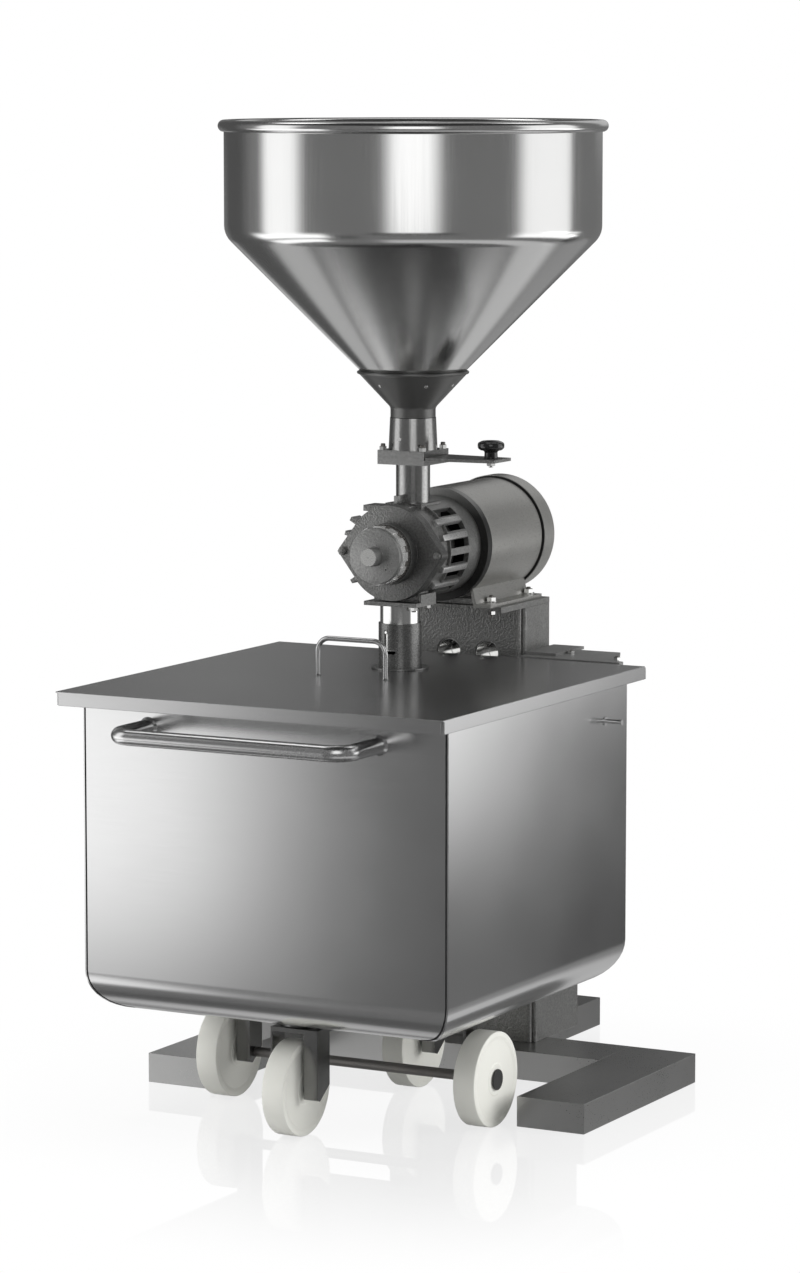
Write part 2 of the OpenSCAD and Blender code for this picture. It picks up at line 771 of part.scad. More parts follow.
module rotating_burr() {
    color("silver") at_axis() difference() {
        shaft_rod(burr_r, -burr_back - burr_t, -burr_back);
        shaft_rod(shaft_r, -chamber_front*2, 0);
        for (i = [0:5]) translate([0, -burr_back, shaft_z]) rotate([0, i*60, 0])
            translate([burr_r*0.62, 0, 0]) rotate([90, 0, 0]) cylinder(r = bolt_r, h = burr_t*2);
    }
}
module feed_screw() {
    r = barrel_bore - flight_gap;
    y0 = -chamber_back*0.6;
    y1 = window_back*0.7;
    color("silver") at_axis() difference() {
        intersection() {
            union() {
                shaft_rod(shaft_r*1.2, y0, y1);
                for (i = [0:4]) translate([0, y0 + (y1 - y0)*(i + 0.5)/5, shaft_z]) rotate([-78, 0, 0])
                    translate([0, 0, -flight_t*0.5]) cylinder(r = barrel_bore*1.3, h = flight_t);
            }
            shaft_rod(r, y0, y1);
        }
        shaft_rod(shaft_r, -chamber_front, motor_front);
    }
}
module adjusting_ring() {
    color("dimgray") at_axis() difference() {
        union() {
            shaft_rod(ring_r, -ring_front, -ring_back);
            shaft_rod(cap_r, -cap_front, -ring_front);
            shaft_rod(boss_r, -cap_front - boss_len, -cap_front);
            shaft_rod(spindle_r, -ring_back, -chamber_front + burr_t*0.6);
        }
        for (i = [0:11]) translate([0, 0, shaft_z]) rotate([0, 15 + i*30, 0])
            block(ring_r*0.94, ring_r*1.1, -ring_front, -ring_back - ring_len*0.35, -ring_r*0.1, ring_r*0.1);
        translate([cap_r*0.5, -cap_front, shaft_z - cap_r*0.45]) rotate([-90, 0, 0])
            cylinder(r = bolt_r*0.5, h = cap_len*0.5);
    }
}

// feed
module flange_square(z0, z1) {
    block(-flange_half, flange_half, -flange_half, flange_half, z0, z1);
}
module flange_bolt_places() {
    for (x = [-1, 1], y = [-1, 1]) translate([x*flange_bolt, y*flange_bolt, 0]) children();
}
module inlet_tube() {
    color("dimgray") at_axis() difference() {
        union() {
            translate([0, 0, shaft_z + inlet_rise])
                cylinder(r = inlet_r, h = flange_z - shaft_z - inlet_rise);
            flange_square(flange_z, upper_z);
            block(-foot_t*0.7, foot_t*0.3, -inlet_r*2.1, -inlet_r*0.95, shaft_z + inlet_rise,
                shaft_z + inlet_rise + foot_t*2.5);
        }
        translate([0, 0, shaft_z]) cylinder(r = inlet_bore, h = 2*flange_rise);
        block(-gate_half - gate_gap*12, 2*flange_half, -gate_half - gate_gap, gate_half + gate_gap,
            slot_z, upper_z*1.1);
        flange_bolt_places() translate([0, 0, flange_z + flange_t*0.25])
            cylinder(r = bolt_r, h = upper_z - flange_z + flange_t);
    }
}
module gate_plate() {
    color("dimgray") at_axis() difference() {
        union() {
            block(-gate_half - gate_gap*10, flange_half*1.1, -gate_half, gate_half,
                slot_z + gate_gap, upper_z - gate_gap);
            translate([0, 0, slot_z + gate_gap]) linear_extrude(slot_h - 2*gate_gap)
                polygon([[flange_half + gate_gap*3, -arm_root_half], [arm_end, -arm_end_half],
                    [arm_end, arm_end_half], [flange_half + gate_gap*3, arm_root_half]]);
        }
        translate([knob_x, 0, 0]) cylinder(r = bolt_r, h = 2*upper_z);
    }
}
module gate_knob() {
    z = upper_z - gate_gap;
    r = knob_r;
    h = knob_stem_h + knob_cap_h;
    q = knob_cap_h*0.42;
    color("black") at_axis() translate([knob_x, 0, z]) rotate_extrude()
        polygon(concat([[0, 0], [knob_stem_r, 0], [knob_stem_r, knob_stem_h]],
            arc(r - q, knob_stem_h + q, q, -90, 0), arc(r - q, h - q, q, 0, 90), [[0, h]]));
}
module gate_nut() {
    z = slot_z + gate_gap;
    color("silver") at_axis() translate([knob_x, 0, z]) {
        translate([0, 0, -nut_h*1.1]) hexagon(nut_r*1.1, nut_h*1.1);
        translate([0, 0, -nut_h*1.6]) cylinder(r = bolt_r, h = nut_h*1.6 + slot_h - 2*gate_gap);
    }
}
module flange_bolts() {
    color("silver") at_axis() flange_bolt_places() {
        translate([0, 0, sleeve_z]) hexagon(nut_r*0.9, nut_h);
        translate([0, 0, flange_z + flange_t*0.25])
            cylinder(r = bolt_r, h = sleeve_z - flange_z - flange_t*0.25 + nut_h*1.8);
    }
}
module neck_flange() {
    color("dimgray") at_axis() difference() {
        union() {
            flange_square(upper_z, sleeve_z);
            translate([0, 0, sleeve_z]) cylinder(r1 = neck_r, r2 = neck_r - neck_taper, h = neck_len);
        }
        translate([0, 0, upper_z - flange_t]) cylinder(r = inlet_bore, h = neck_len);
        translate([0, 0, neck_top - neck_len*0.6]) cylinder(r = throat_r, h = neck_len);
        flange_bolt_places() translate([0, 0, upper_z - flange_t])
            cylinder(r = bolt_r, h = 2*flange_t + upper_flange_t);
        neck_screw_shank();
    }
}
module collar_screw_shanks() {
    r = throat_r + collar_wall + (collar_drop + collar_h*0.6)*collar_k;
    for (a = [-110, -45, 0, 70, 135, 190]) rotate([0, 0, a]) translate([r, 0, cone_z + collar_h*0.6])
        rotate([0, 135, 0]) translate([0, 0, -collar_wall*0.4]) cylinder(r = bolt_r*0.8, h = collar_wall*0.8);
}
module neck_screw_shank() {
    rotate([0, 0, -95]) translate([neck_r - neck_taper*0.6 - collar_wall*0.5, 0, sleeve_z + neck_len*0.35])
        rotate([0, 90, 0]) cylinder(r = bolt_r*0.7, h = collar_wall);
}
module collar() {
    z1 = cone_z + collar_h;
    r1 = throat_r + collar_h*cone_k;
    foot = neck_top - neck_len*0.5;
    color("dimgray") at_axis() difference() {
        rotate_extrude() polygon([
            [throat_r, foot], [throat_r, neck_top], [throat_r + collar_wall, neck_top],
            [throat_r + collar_wall, cone_z - collar_drop],
            [r1 + collar_wall - collar_lip, z1 - collar_lip*2],
            [r1 + collar_wall + collar_lip*0.4, z1 - collar_lip],
            [r1 + collar_wall, z1], [r1, z1], [throat_r, cone_z],
            [inlet_bore, cone_z - neck_free*0.9], [inlet_bore, foot]]);
        collar_screw_shanks();
    }
}
module collar_screws() {
    color("silver") at_axis() {
        collar_screw_shanks();
        neck_screw_shank();
    }
}
module hopper_bowl() {
    t = hopper_t;
    z0 = cone_z + seat_rise;
    r0 = throat_r + seat_rise*cone_k;
    b = hopper_bead;
    color("silver") at_axis() union() {
        rotate_extrude() polygon([[r0, z0], [hopper_r, bend_z], [hopper_r, rim_z], [hopper_r - t, rim_z],
            [hopper_r - t, bend_z + t*0.4], [r0 - t*1.4, z0]]);
        translate([0, 0, rim_z]) rotate_extrude() translate([hopper_r, 0]) circle(r = b, $fn = 32);
    }
}

// outlet
module outlet_plate() {
    y = outlet_y;
    color("dimgray") at_axis() difference() {
        union() {
            block(-outlet_plate_x, outlet_plate_x, -y - outlet_plate_y, -y + outlet_plate_y,
                plate_z, plate_top);
            block(outlet_plate_x - foot_t*0.7, outlet_plate_x, -y - outlet_plate_y*0.5, -y + outlet_plate_y,
                plate_top, plate_top + outlet_plate_t*1.9);
        }
        translate([0, -y, plate_z - outlet_plate_t]) cylinder(r = outlet_bore, h = 3*outlet_plate_t);
        shaft_rod(lantern_r + play/2, -chamber_back - play/2, motor_front);
        outlet_bolt_places() translate([0, 0, -outlet_plate_t]) cylinder(r = bolt_r, h = 3*outlet_plate_t);
    }
}
module outlet_tube() {
    color("silver") at_axis() translate([0, -outlet_y, tube_z]) difference() {
        cylinder(r = outlet_r, h = outlet_len);
        translate([0, 0, -outlet_len]) cylinder(r = outlet_bore, h = 3*outlet_len);
        translate([0, 0, screw_z - tube_z]) rotate([0, 0, -slot_turn])
            translate([0, -(outlet_bore + outlet_r)/2, 0]) rotate([90, 0, 0])
                cylinder(r = slot_w*0.42, h = outlet_r);
    }
}
module outlet_sleeve() {
    ri = outlet_r + sleeve_gap;
    top = sleeve_len - slot_drop;
    color("gray") at_axis() translate([0, -outlet_y, sleeve_foot]) difference() {
        union() {
            cylinder(r = ri + sleeve_wall, h = sleeve_len);
            cylinder(r = sleeve_flange_r, h = sleeve_wall);
        }
        translate([0, 0, -sleeve_len]) cylinder(r = ri, h = 3*sleeve_len);
        rotate([0, 0, -slot_turn]) {
            block(-slot_w/2, slot_w/2, -sleeve_flange_r, 0, top - slot_len, top);
            block(0, slot_w*1.6, -sleeve_flange_r, 0, top - slot_len, top - slot_len + slot_w);
        }
        rotate([0, 0, slot_turn*0.7]) translate([0, 0, top - slot_len + slot_w*0.5]) rotate([90, 0, 0])
            cylinder(r = slot_w*0.6, h = sleeve_flange_r);
    }
}
module sleeve_screw() {
    color("silver") at_axis() translate([0, -outlet_y, screw_z]) rotate([0, 0, -slot_turn])
        translate([0, -(outlet_bore + outlet_r)/2, 0]) rotate([90, 0, 0])
            cylinder(r = slot_w*0.42, h = (outlet_r - outlet_bore)/2 + sleeve_gap + sleeve_wall*1.15);
}

// bin
// outline in Y and Z, d inside the outer face, up to z1
module bin_side_outline(d, z1) {
    f = d - bin_front;
    b = bin_back - d;
    z = bin_bottom + d;
    rf = bend_front - d;
    rb = bend_back - d;
    polygon(concat([[b, z1], [f, z1]], arc(f + rf, z + rf, rf, 180, 270), arc(b - rb, z + rb, rb, 270, 360)));
}
// right half of the rounded edge in X and Z, d inside the outer face, drawn downwards
function side_edge(d) = concat([[bin_half_w - d, bin_top + over]],
    arc(bin_half_w - bend_side, bin_bottom + bend_side, bend_side - d, 360, 270));
function reversed(points) = [for (i = [1:len(points)]) points[len(points) - i]];
function flip_x(points) = [for (p = reversed(points)) [-p[0], p[1]]];
// flat shape drawn in X and Z, run from front to back through the bin
module through_bin() {
    front_plate(bin_back + over, bin_back + bin_front + 2*over) children();
}
// what a bend of radius r cuts off a sharp corner at zero
module bend_waste(r) {
    polygon(concat([[-over, r], [-over, -over], [r, -over]], arc(r, r, r, 270, 180)));
}
// solid form of the bin, d inside the outer face, up to z1
module tub(d, z1) {
    h = bin_half_w - d;
    f = d - bin_front;
    b = bin_back - d;
    z = bin_bottom + d;
    difference() {
        block(-h, h, f, b, z, z1);
        for (s = [0, 1]) mirror([s, 0, 0]) through_bin() translate([-h, z]) bend_waste(bend_side - d);
        side_plate(-h - over, 2*h + 2*over) {
            translate([f, z]) bend_waste(bend_front - d);
            translate([b, z]) mirror([1, 0]) bend_waste(bend_back - d);
        }
    }
}
module bin_wrap() {
    c = bin_half_w - bend_side;
    edge = concat(side_edge(bin_t + seam_w), [[c, bin_bottom - over]]);
    color("silver") at_axis() difference() {
        intersection() {
            tub(0, bin_top);
            through_bin() polygon(concat(edge, flip_x(edge)));
        }
        tub(bin_t, bin_top + over);
    }
}
module bin_seams() {
    color("black") at_axis() for (s = [0, 1]) mirror([s, 0, 0]) intersection() {
        side_plate(0, bin_half_w) difference() {
            bin_side_outline(seam_in, bin_top);
            bin_side_outline(seam_in + bin_t*2, bin_top + over);
        }
        through_bin() polygon(concat(side_edge(bin_t), reversed(side_edge(bin_t + seam_w))));
    }
}
// right side sheet, bent in along its foot
module bin_side() {
    c = bin_half_w - bend_side;
    color("silver") at_axis() intersection() {
        tub(0, bin_top);
        through_bin() polygon(concat(side_edge(bin_t), [[c, bin_bottom - over],
            [bin_half_w + over, bin_bottom - over], [bin_half_w + over, bin_top + over]]));
    }
}
module bin_left_side() {
    mirror([1, 0, 0]) bin_side();
}
module bin_right_side() {
    bin_side();
}
module bin_lid() {
    x = bin_half_w + lid_side;
    f = -bin_front - lid_front;
    b = bin_back + lid_back;
    t = bin_t;
    z = bin_top;
    color("gray") at_axis() difference() {
        union() {
            block(-x, x, f, b - t*3, z, z + t);
            block(-x + t*2, x - t*2, f, f + t, z + t - lid_edge, z);
            for (s = [0, 1]) mirror([s, 0, 0]) side_plate(x - t, t)
                polygon(concat([[f + t*2, z], [f + t*2, z + t - lid_edge], [b, z + t - lid_edge]],
                    arc(b - t*3, z + t - t*3, t*3, 0, 90), [[b - t*4, z + t], [b - t*4, z]]));
        }
        translate([0, -outlet_y, z - t]) cylinder(r = lid_hole_r, h = 3*t);
    }
}
module push_handle() {
    y = -bin_front;
    r = push_r;
    q = push_bend;
    h = push_half;
    d = push_reach;
    color("silver") at_axis() translate([0, y, push_z]) {
        for (s = [0, 1]) mirror([s, 0, 0]) {
            translate([h, 0, 0]) rotate([90, 0, 0]) cylinder(r = r, h = d - q);
            translate([h - q, q - d, 0]) rotate([0, 0, -90]) rotate_extrude(angle = 90)
                translate([q, 0]) circle(r = r);
        }
        translate([q - h, -d, 0]) rotate([0, 90, 0]) cylinder(r = r, h = 2*h - 2*q);
    }
}
module lid_handle() {
    q = grip_bend;
    r = grip_r;
    a = -grip_left;
    b = grip_right;
    color("silver") at_axis() translate([0, -grip_y, lid_top]) {
        for (x = [a, b]) translate([x, 0, 0]) cylinder(r = r, h = grip_h - q);
        translate([a + q, 0, grip_h - q]) rotate([90, 0, 180]) rotate_extrude(angle = 90)
            translate([q, 0]) circle(r = r);
        translate([b - q, 0, grip_h - q]) rotate([90, 0, 0]) rotate_extrude(angle = 90)
            translate([q, 0]) circle(r = r);
        translate([a + q, 0, grip_h]) rotate([0, 90, 0]) cylinder(r = r, h = b - a - 2*q);
    }
}
module side_pins() {
    color("silver") at_axis() for (s = [0, 1]) mirror([s, 0, 0]) {
        rod_x(pin_r, bin_half_w, bin_half_w + pin_len, pin_y, pin_z);
        rod_x(pin_r*2, bin_half_w, bin_half_w + pin_r*0.5, pin_y, pin_z);
        rod_x(pin_r*1.2, bin_half_w + pin_len, bin_half_w + pin_len + pin_r*0.5, pin_y, pin_z);
    }
}

// running gear
// upright with its foot cut to a point, w wide from x, under the bin
module upright(x, w, y, z1) {
    c = bracket_d/2;
    color("dimgray") side_plate(x, w)
        polygon([[y - c, z1], [y - c, bracket_z + c*0.15], [y - c*0.55, bracket_z],
            [y + c, bracket_z + c*1.1], [y + c, z1]]);
}
module wheel_bracket_left() {
    x = -wheel_x + wheel_w/2 + leg_gap;
    color("dimgray") at_axis() difference() {
        upright(x, bracket_w, -wheel_y, bin_bottom);
        rod_x(axle_r, -2*wheel_x, 2*wheel_x, -wheel_y, wheel_r);
    }
}
module wheel_bracket_right() {
    x = wheel_x - wheel_w/2 - leg_gap - leg_t;
    color("dimgray") at_axis() difference() {
        upright(x, leg_t, -wheel_y, bin_bottom);
        rod_x(axle_r, -2*wheel_x, 2*wheel_x, -wheel_y, wheel_r);
    }
}
module wheel_axle() {
    x = wheel_x + wheel_w/2 + wheel_side;
    color("silver") at_axis() union() {
        rod_x(axle_r, -x, x, -wheel_y, wheel_r);
        for (s = [0, 1]) mirror([s, 0, 0]) rod_x(axle_r*1.5, wheel_x - wheel_w/2 - leg_gap,
            wheel_x - wheel_w/2 - wheel_side, -wheel_y, wheel_r);
    }
}
module axle_caps() {
    x = wheel_x + wheel_w/2 + wheel_side;
    color("dimgray") at_axis() for (s = [0, 1]) mirror([s, 0, 0])
        rod_x(axle_cap_r, x, x + axle_cap_r*0.2, -wheel_y, wheel_r);
}
// wheel on an X axis at x, y
module wheel(x, y) {
    w = wheel_w/2;
    r = wheel_r;
    q = wheel_w*0.1;
    b = axle_r + wheel_gap;
    color("ivory") at_axis() translate([x, y, r]) rotate([0, 90, 0]) rotate_extrude()
        polygon(concat([[b, w], [b, -w]], arc(r - q, q - w, q, -90, 0), arc(r - q, w - q, q, 0, 90)));
}
module fixed_wheel_left() {
    wheel(-wheel_x, -wheel_y);
}
module fixed_wheel_right() {
    wheel(wheel_x, -wheel_y);
}
module front_caster_wheel() {
    wheel(0, -caster_front - trail);
}
module rear_caster_wheel() {
    wheel(0, caster_rear - trail);
}
// fork on the swivel axis at y, its wheel in front of the axis
module fork(y) {
    w = wheel_w/2;
    yw = y - trail;
    x0 = -w - leg_gap*2 - leg_t;
    x1 = w + leg_gap;
    x2 = x1 + bracket_w;
    color("dimgray") at_axis() {
        upright(x0, leg_t, yw, crown_z);
        upright(x1, bracket_w, yw, crown_z);
        block(x0, x2, yw - bracket_d/2, y + bracket_d/2, crown_z, crown_z + crown_t);
        translate([0, y, crown_z + crown_t])
            cylinder(r = king_r, h = bin_bottom - crown_z - crown_t - play*3);
        rod_x(axle_r, x0 + leg_t, x1, yw, wheel_r);
        rod_x(axle_r*1.5, x0 + leg_t, -w - wheel_side, yw, wheel_r);
        rod_x(axle_r*1.5, w + wheel_side, x1, yw, wheel_r);
    }
}
module front_fork() {
    fork(-caster_front);
}
module rear_fork() {
    fork(caster_rear);
}
module caster_races() {
    z0 = crown_z + crown_t + play;
    color("gray") at_axis() for (y = [-caster_front, caster_rear]) difference() {
        union() {
            translate([0, y, z0]) cylinder(r = race_r, h = bin_bottom - z0);
            block(-race_r*1.5, race_r*1.5, y - race_r*1.3, y + race_r*1.3,
                bin_bottom - crown_t*0.6, bin_bottom);
        }
        translate([0, y, 0]) cylinder(r = king_r + king_gap, h = bin_bottom - play);
    }
}

base_left_arm();
base_right_arm();
base_cross_bar();
base_tail_bar();
column_body();
column_cover();
head_body();
head_cover();
port_liners();
motor_rails();
dock_bracket();
motor_shell();
motor_flange();
stator_core();
rotor_core();
motor_shaft();
cooling_fan();
fan_cover();
motor_feet();
foot_bolts();
terminal_box();
lantern_housing();
front_cover();
housing_bolts();
fixed_burr();
rotating_burr();
feed_screw();
adjusting_ring();
inlet_tube();
gate_plate();
gate_knob();
gate_nut();
flange_bolts();
neck_flange();
collar();
collar_screws();
hopper_bowl();
outlet_plate();
outlet_tube();
outlet_sleeve();
sleeve_screw();
bin_wrap();
bin_seams();
bin_left_side();
bin_right_side();
bin_lid();
push_handle();
lid_handle();
side_pins();
wheel_bracket_left();
wheel_bracket_right();
wheel_axle();
axle_caps();
fixed_wheel_left();
fixed_wheel_right();
caster_races();
front_fork();
rear_fork();
front_caster_wheel();
rear_caster_wheel();
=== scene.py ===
"""Looks of the shop coffee grinder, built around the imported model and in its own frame.

The sizes and places of pieces are in millimetres, those of the camera and the studio in metres.
"""

from math import atan2, ceil, cos, pi, radians, sin, tan

import bmesh
import bpy
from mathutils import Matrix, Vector

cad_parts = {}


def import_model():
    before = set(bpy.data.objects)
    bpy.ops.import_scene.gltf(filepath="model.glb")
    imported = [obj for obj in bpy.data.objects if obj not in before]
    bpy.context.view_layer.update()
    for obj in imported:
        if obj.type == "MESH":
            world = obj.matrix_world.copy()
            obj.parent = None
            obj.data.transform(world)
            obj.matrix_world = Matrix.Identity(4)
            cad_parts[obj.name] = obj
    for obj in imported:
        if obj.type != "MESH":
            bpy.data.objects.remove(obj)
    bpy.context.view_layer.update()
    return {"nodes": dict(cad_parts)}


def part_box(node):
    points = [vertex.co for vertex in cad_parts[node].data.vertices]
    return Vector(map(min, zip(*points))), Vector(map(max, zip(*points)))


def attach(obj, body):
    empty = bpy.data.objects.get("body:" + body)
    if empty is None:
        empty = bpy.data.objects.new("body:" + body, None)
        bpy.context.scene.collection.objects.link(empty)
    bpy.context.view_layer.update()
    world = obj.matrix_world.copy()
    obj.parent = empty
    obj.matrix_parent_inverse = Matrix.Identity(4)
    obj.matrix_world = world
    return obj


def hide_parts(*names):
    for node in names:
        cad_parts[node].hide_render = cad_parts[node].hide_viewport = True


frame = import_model()

MM = 0.001
X, Y, Z = Vector((1, 0, 0)), Vector((0, 1, 0)), Vector((0, 0, 1))
WHITE = (1, 1, 1)


# Materials

# Where most of a noise's values lie.
NOISE_LOW = 0.3
NOISE_HIGH = 0.7


class Shader:
    """The nodes of one material or world. A value is a number, a colour, a socket or a node."""

    def __init__(self, owner):
        self.owner = owner
        owner.use_nodes = True
        self.tree = owner.node_tree
        self.tree.nodes.clear()

    def put(self, socket, value):
        if isinstance(value, bpy.types.Node):
            value = value.outputs[0]
        if isinstance(value, bpy.types.NodeSocket):
            self.tree.links.new(value, socket)
        elif isinstance(value, (tuple, list)) and socket.type == "RGBA":
            socket.default_value = (*value[:3], 1)
        else:
            socket.default_value = value

    def add(self, kind, inputs=(), **settings):
        node = self.tree.nodes.new("ShaderNode" + kind)
        for name, value in settings.items():
            setattr(node, name, value)
        for name, value in dict(inputs).items():
            self.put(node.inputs[name], value)
        return node

    def math(self, operation, *values):
        return self.add("Math", enumerate(values), operation=operation)

    def vector(self, operation, *values):
        return self.add("VectorMath", enumerate(values), operation=operation)

    def spread(self, value, low, high, to_low=0.0, to_high=1.0, smooth=False):
        """value's range low to high, stretched to another range and held there."""
        inputs = {
            "Value": value,
            "From Min": low,
            "From Max": high,
            "To Min": to_low,
            "To Max": to_high,
        }
        kind = "SMOOTHSTEP" if smooth else "LINEAR"
        return self.add("MapRange", inputs, interpolation_type=kind)

    def place(self, scale=(1, 1, 1)):
        """Points of the piece itself, so that a pattern rides with it."""
        point = self.add("TexCoord").outputs["Object"]
        return self.add("Mapping", {"Vector": point, "Scale": scale})

    def noise(self, scale, detail, stretch=(1, 1, 1)):
        inputs = {"Vector": self.place(stretch), "Scale": scale, "Detail": detail}
        return self.add("TexNoise", inputs).outputs["Fac"]

    def levels(self, noise, low, high):
        """A noise, stretched to run from low to high."""
        return self.spread(noise, NOISE_LOW, NOISE_HIGH, low, high)

    def surface(self, color, tone, roughness, bump, settings):
        """A Principled surface of a colour times a tone. bump is a height, a strength and millimetres."""
        height, strength, depth = bump
        shade = self.add("VectorMath", {0: color, "Scale": tone}, operation="SCALE")
        normal = self.add("Bump", {"Height": height, "Strength": strength, "Distance": depth * MM})
        inputs = {"Base Color": shade, "Roughness": roughness, "Normal": normal, **settings}
        return self.finish(self.add("BsdfPrincipled", inputs))

    def glow(self, strength):
        """White light of a strength."""
        return self.finish_unsampled(self.add("Emission", {"Color": WHITE, "Strength": strength}))

    def finish_unsampled(self, surface):
        """A finished material whose light isn't sampled as a lamp's is."""
        made = self.finish(surface)
        made.cycles.emission_sampling = "NONE"
        return made

    def finish(self, surface):
        kind = "OutputWorld" if isinstance(self.owner, bpy.types.World) else "OutputMaterial"
        self.add(kind, {"Surface": surface})
        return self.owner


def material(name):
    return Shader(bpy.data.materials.new(name))


# Noises are scaled per metre. Clouds lighten steel by a share of what they darken it, and change its
# roughness by another.
STEEL_CLOUDS = 5
STEEL_LIGHTER_SHARE = 0.4
STEEL_DULLER_SHARE = 0.06
FINE_BUMP = 0.3


def metal(name, color, rough, vary=0.1, lines=(1, 1, 1), line_scale=900, depth=0.01, rub=0.15):
    """Bare steel: faint streaks along one direction, cloudy roughness and a little tone."""
    shader = material(name)
    clouds = shader.noise(STEEL_CLOUDS, 4)
    streaks = shader.noise(line_scale, 2, lines)
    tone = shader.levels(clouds, 1 - vary, 1 + vary * STEEL_LIGHTER_SHARE)
    rubbed = shader.levels(streaks, rough * (1 - rub), rough * (1 + rub))
    clouded = shader.levels(clouds, 1 - STEEL_DULLER_SHARE, 1 + STEEL_DULLER_SHARE)
    roughness = shader.math("MULTIPLY", rubbed, clouded)
    return shader.surface(color, tone, roughness, (streaks, FINE_BUMP, depth), {"Metallic": 1.0})


# How many fine grains lie along a dimple, how much they add to its height, and where most heights lie.
FINE_GRAINS = 1.4
FINE_HEIGHT = 0.7
HEIGHT_LOW = 0.3
HEIGHT_HIGH = 1.2
PAINT_CLOUDS = 14
PAINT_ROUGH_SHARE = 0.15


def paint(name, color, rough, grain=3, depth=0.1, vary=0.06, metallic=0.75, specular=0.6, speckle=0.0,
          painted_shade=None):
    """Paint with a skin of round dimples, grain millimetres wide: a fine orange peel or a hammered one.

    painted_shade holds an axis of the piece, the shares of its length between which the tone changes, and the
    tones there: a painted shade that darkens the colour towards one end.
    """
    shader = material(name)
    inputs = {"Vector": shader.place(), "Scale": 1 / (grain * MM)}
    dimples = shader.add("TexVoronoi", inputs, feature="SMOOTH_F1")
    fine = shader.noise(FINE_GRAINS / (grain * MM), 3)
    clouds = shader.noise(PAINT_CLOUDS, 4)
    height = shader.math("ADD", dimples.outputs["Distance"], shader.math("MULTIPLY", fine, FINE_HEIGHT))
    specks = shader.spread(height, HEIGHT_LOW, HEIGHT_HIGH, -speckle, speckle)
    tone = shader.math("ADD", shader.levels(clouds, 1 - vary, 1 + vary), specks)
    # Painted shade: the tone changes along one axis of the piece.
    if painted_shade:
        axis, low, high, to_low, to_high = painted_shade
        share = shader.add("TexCoord").outputs["Generated"]
        along = shader.add("SeparateXYZ", {0: share}).outputs[axis]
        tone = shader.math("MULTIPLY", tone, shader.spread(along, low, high, to_low, to_high, smooth=True))
    roughness = shader.levels(fine, rough * (1 - PAINT_ROUGH_SHARE), rough * (1 + PAINT_ROUGH_SHARE))
    settings = {"Metallic": metallic, "Specular IOR Level": specular}
    return shader.surface(color, tone, roughness, (height, 1.0, depth), settings)


PLASTIC_CLOUDS = 10
PLASTIC_GRAINS = 720
PLASTIC_LIGHTER_SHARE = 0.5
PLASTIC_ROUGH_SHARE = 0.1
# How deep light goes under a plastic's skin.
PLASTIC_DEPTH = 4


def plastic(name, color, rough, vary=0.04, depth=0.02, subsurface=0.0, coat=0.0):
    """Plastic or rubber with a fine grain, cloudy where vary says."""
    shader = material(name)
    clouds = shader.noise(PLASTIC_CLOUDS, 4)
    fine = shader.noise(PLASTIC_GRAINS, 2)
    tone = shader.levels(clouds, 1 - vary, 1 + vary * PLASTIC_LIGHTER_SHARE)
    roughness = shader.levels(fine, rough * (1 - PLASTIC_ROUGH_SHARE), rough * (1 + PLASTIC_ROUGH_SHARE))
    return shader.surface(color, tone, roughness, (fine, FINE_BUMP, depth), {
        "Coat Weight": coat,
        "Subsurface Weight": subsurface,
        "Subsurface Scale": PLASTIC_DEPTH * MM,
        "Subsurface Radius": WHITE,
    })


# Streaks that run up a sheet, and across it.
UPRIGHT = (1, 1, 0.02)
LEVEL = (0.03, 1, 1)
BIN_SHEET = {"vary": 0.02, "lines": LEVEL, "line_scale": 500, "depth": 0.0002, "rub": 0.03}

# The look of each material slot of the model.
LOOKS = {
    "base_paint": metal("base_steel", (0.46, 0.46, 0.455), 0.32, vary=0.06, depth=0.02, line_scale=400),
    "hammer_paint": paint("hammered_grey", (0.24, 0.24, 0.235), 0.33, depth=0.6, speckle=0.3),
    "motor_paint": paint("smooth_grey", (0.42, 0.417, 0.4), 0.3, grain=2, depth=0.06, vary=0.05,
                         specular=0.5),
    "bright_steel": metal("bright_plate", (0.78, 0.78, 0.77), 0.13, vary=0.06),
    "hopper_steel": metal("polished_sheet", (0.74, 0.74, 0.735), 0.17, vary=0.03, lines=UPRIGHT,
                          line_scale=300, depth=0.002),
    "bin_steel": metal("satin_sheet", (0.64, 0.64, 0.64), 0.2, **BIN_SHEET),
    "seam_rubber": plastic("black_seam", (0.012, 0.012, 0.012), 0.6),
    "handle_steel": metal("satin_rod", (0.66, 0.66, 0.66), 0.24, vary=0.03),
    "gear_steel": metal("dark_gear_steel", (0.22, 0.22, 0.217), 0.22, vary=0.08),
    "wheel_nylon": plastic("ivory_nylon", (0.9, 0.9, 0.84), 0.4, vary=0.02, depth=0.03, subsurface=0.3),
    "knob_plastic": plastic("glossy_black", (0.01, 0.01, 0.01), 0.12, coat=0.5),
    "core_iron": metal("raw_iron", (0.25, 0.24, 0.23), 0.5, vary=0.2),
    "machined_steel": metal("turned_steel", (0.5, 0.5, 0.49), 0.28),
    "fan_plastic": plastic("matt_black", (0.03, 0.03, 0.03), 0.5),
}

FINE_HAMMER = paint("fine_hammered_grey", (0.38, 0.38, 0.375), 0.2, depth=0.03, vary=0.04, metallic=0.95,
                    speckle=0.14)
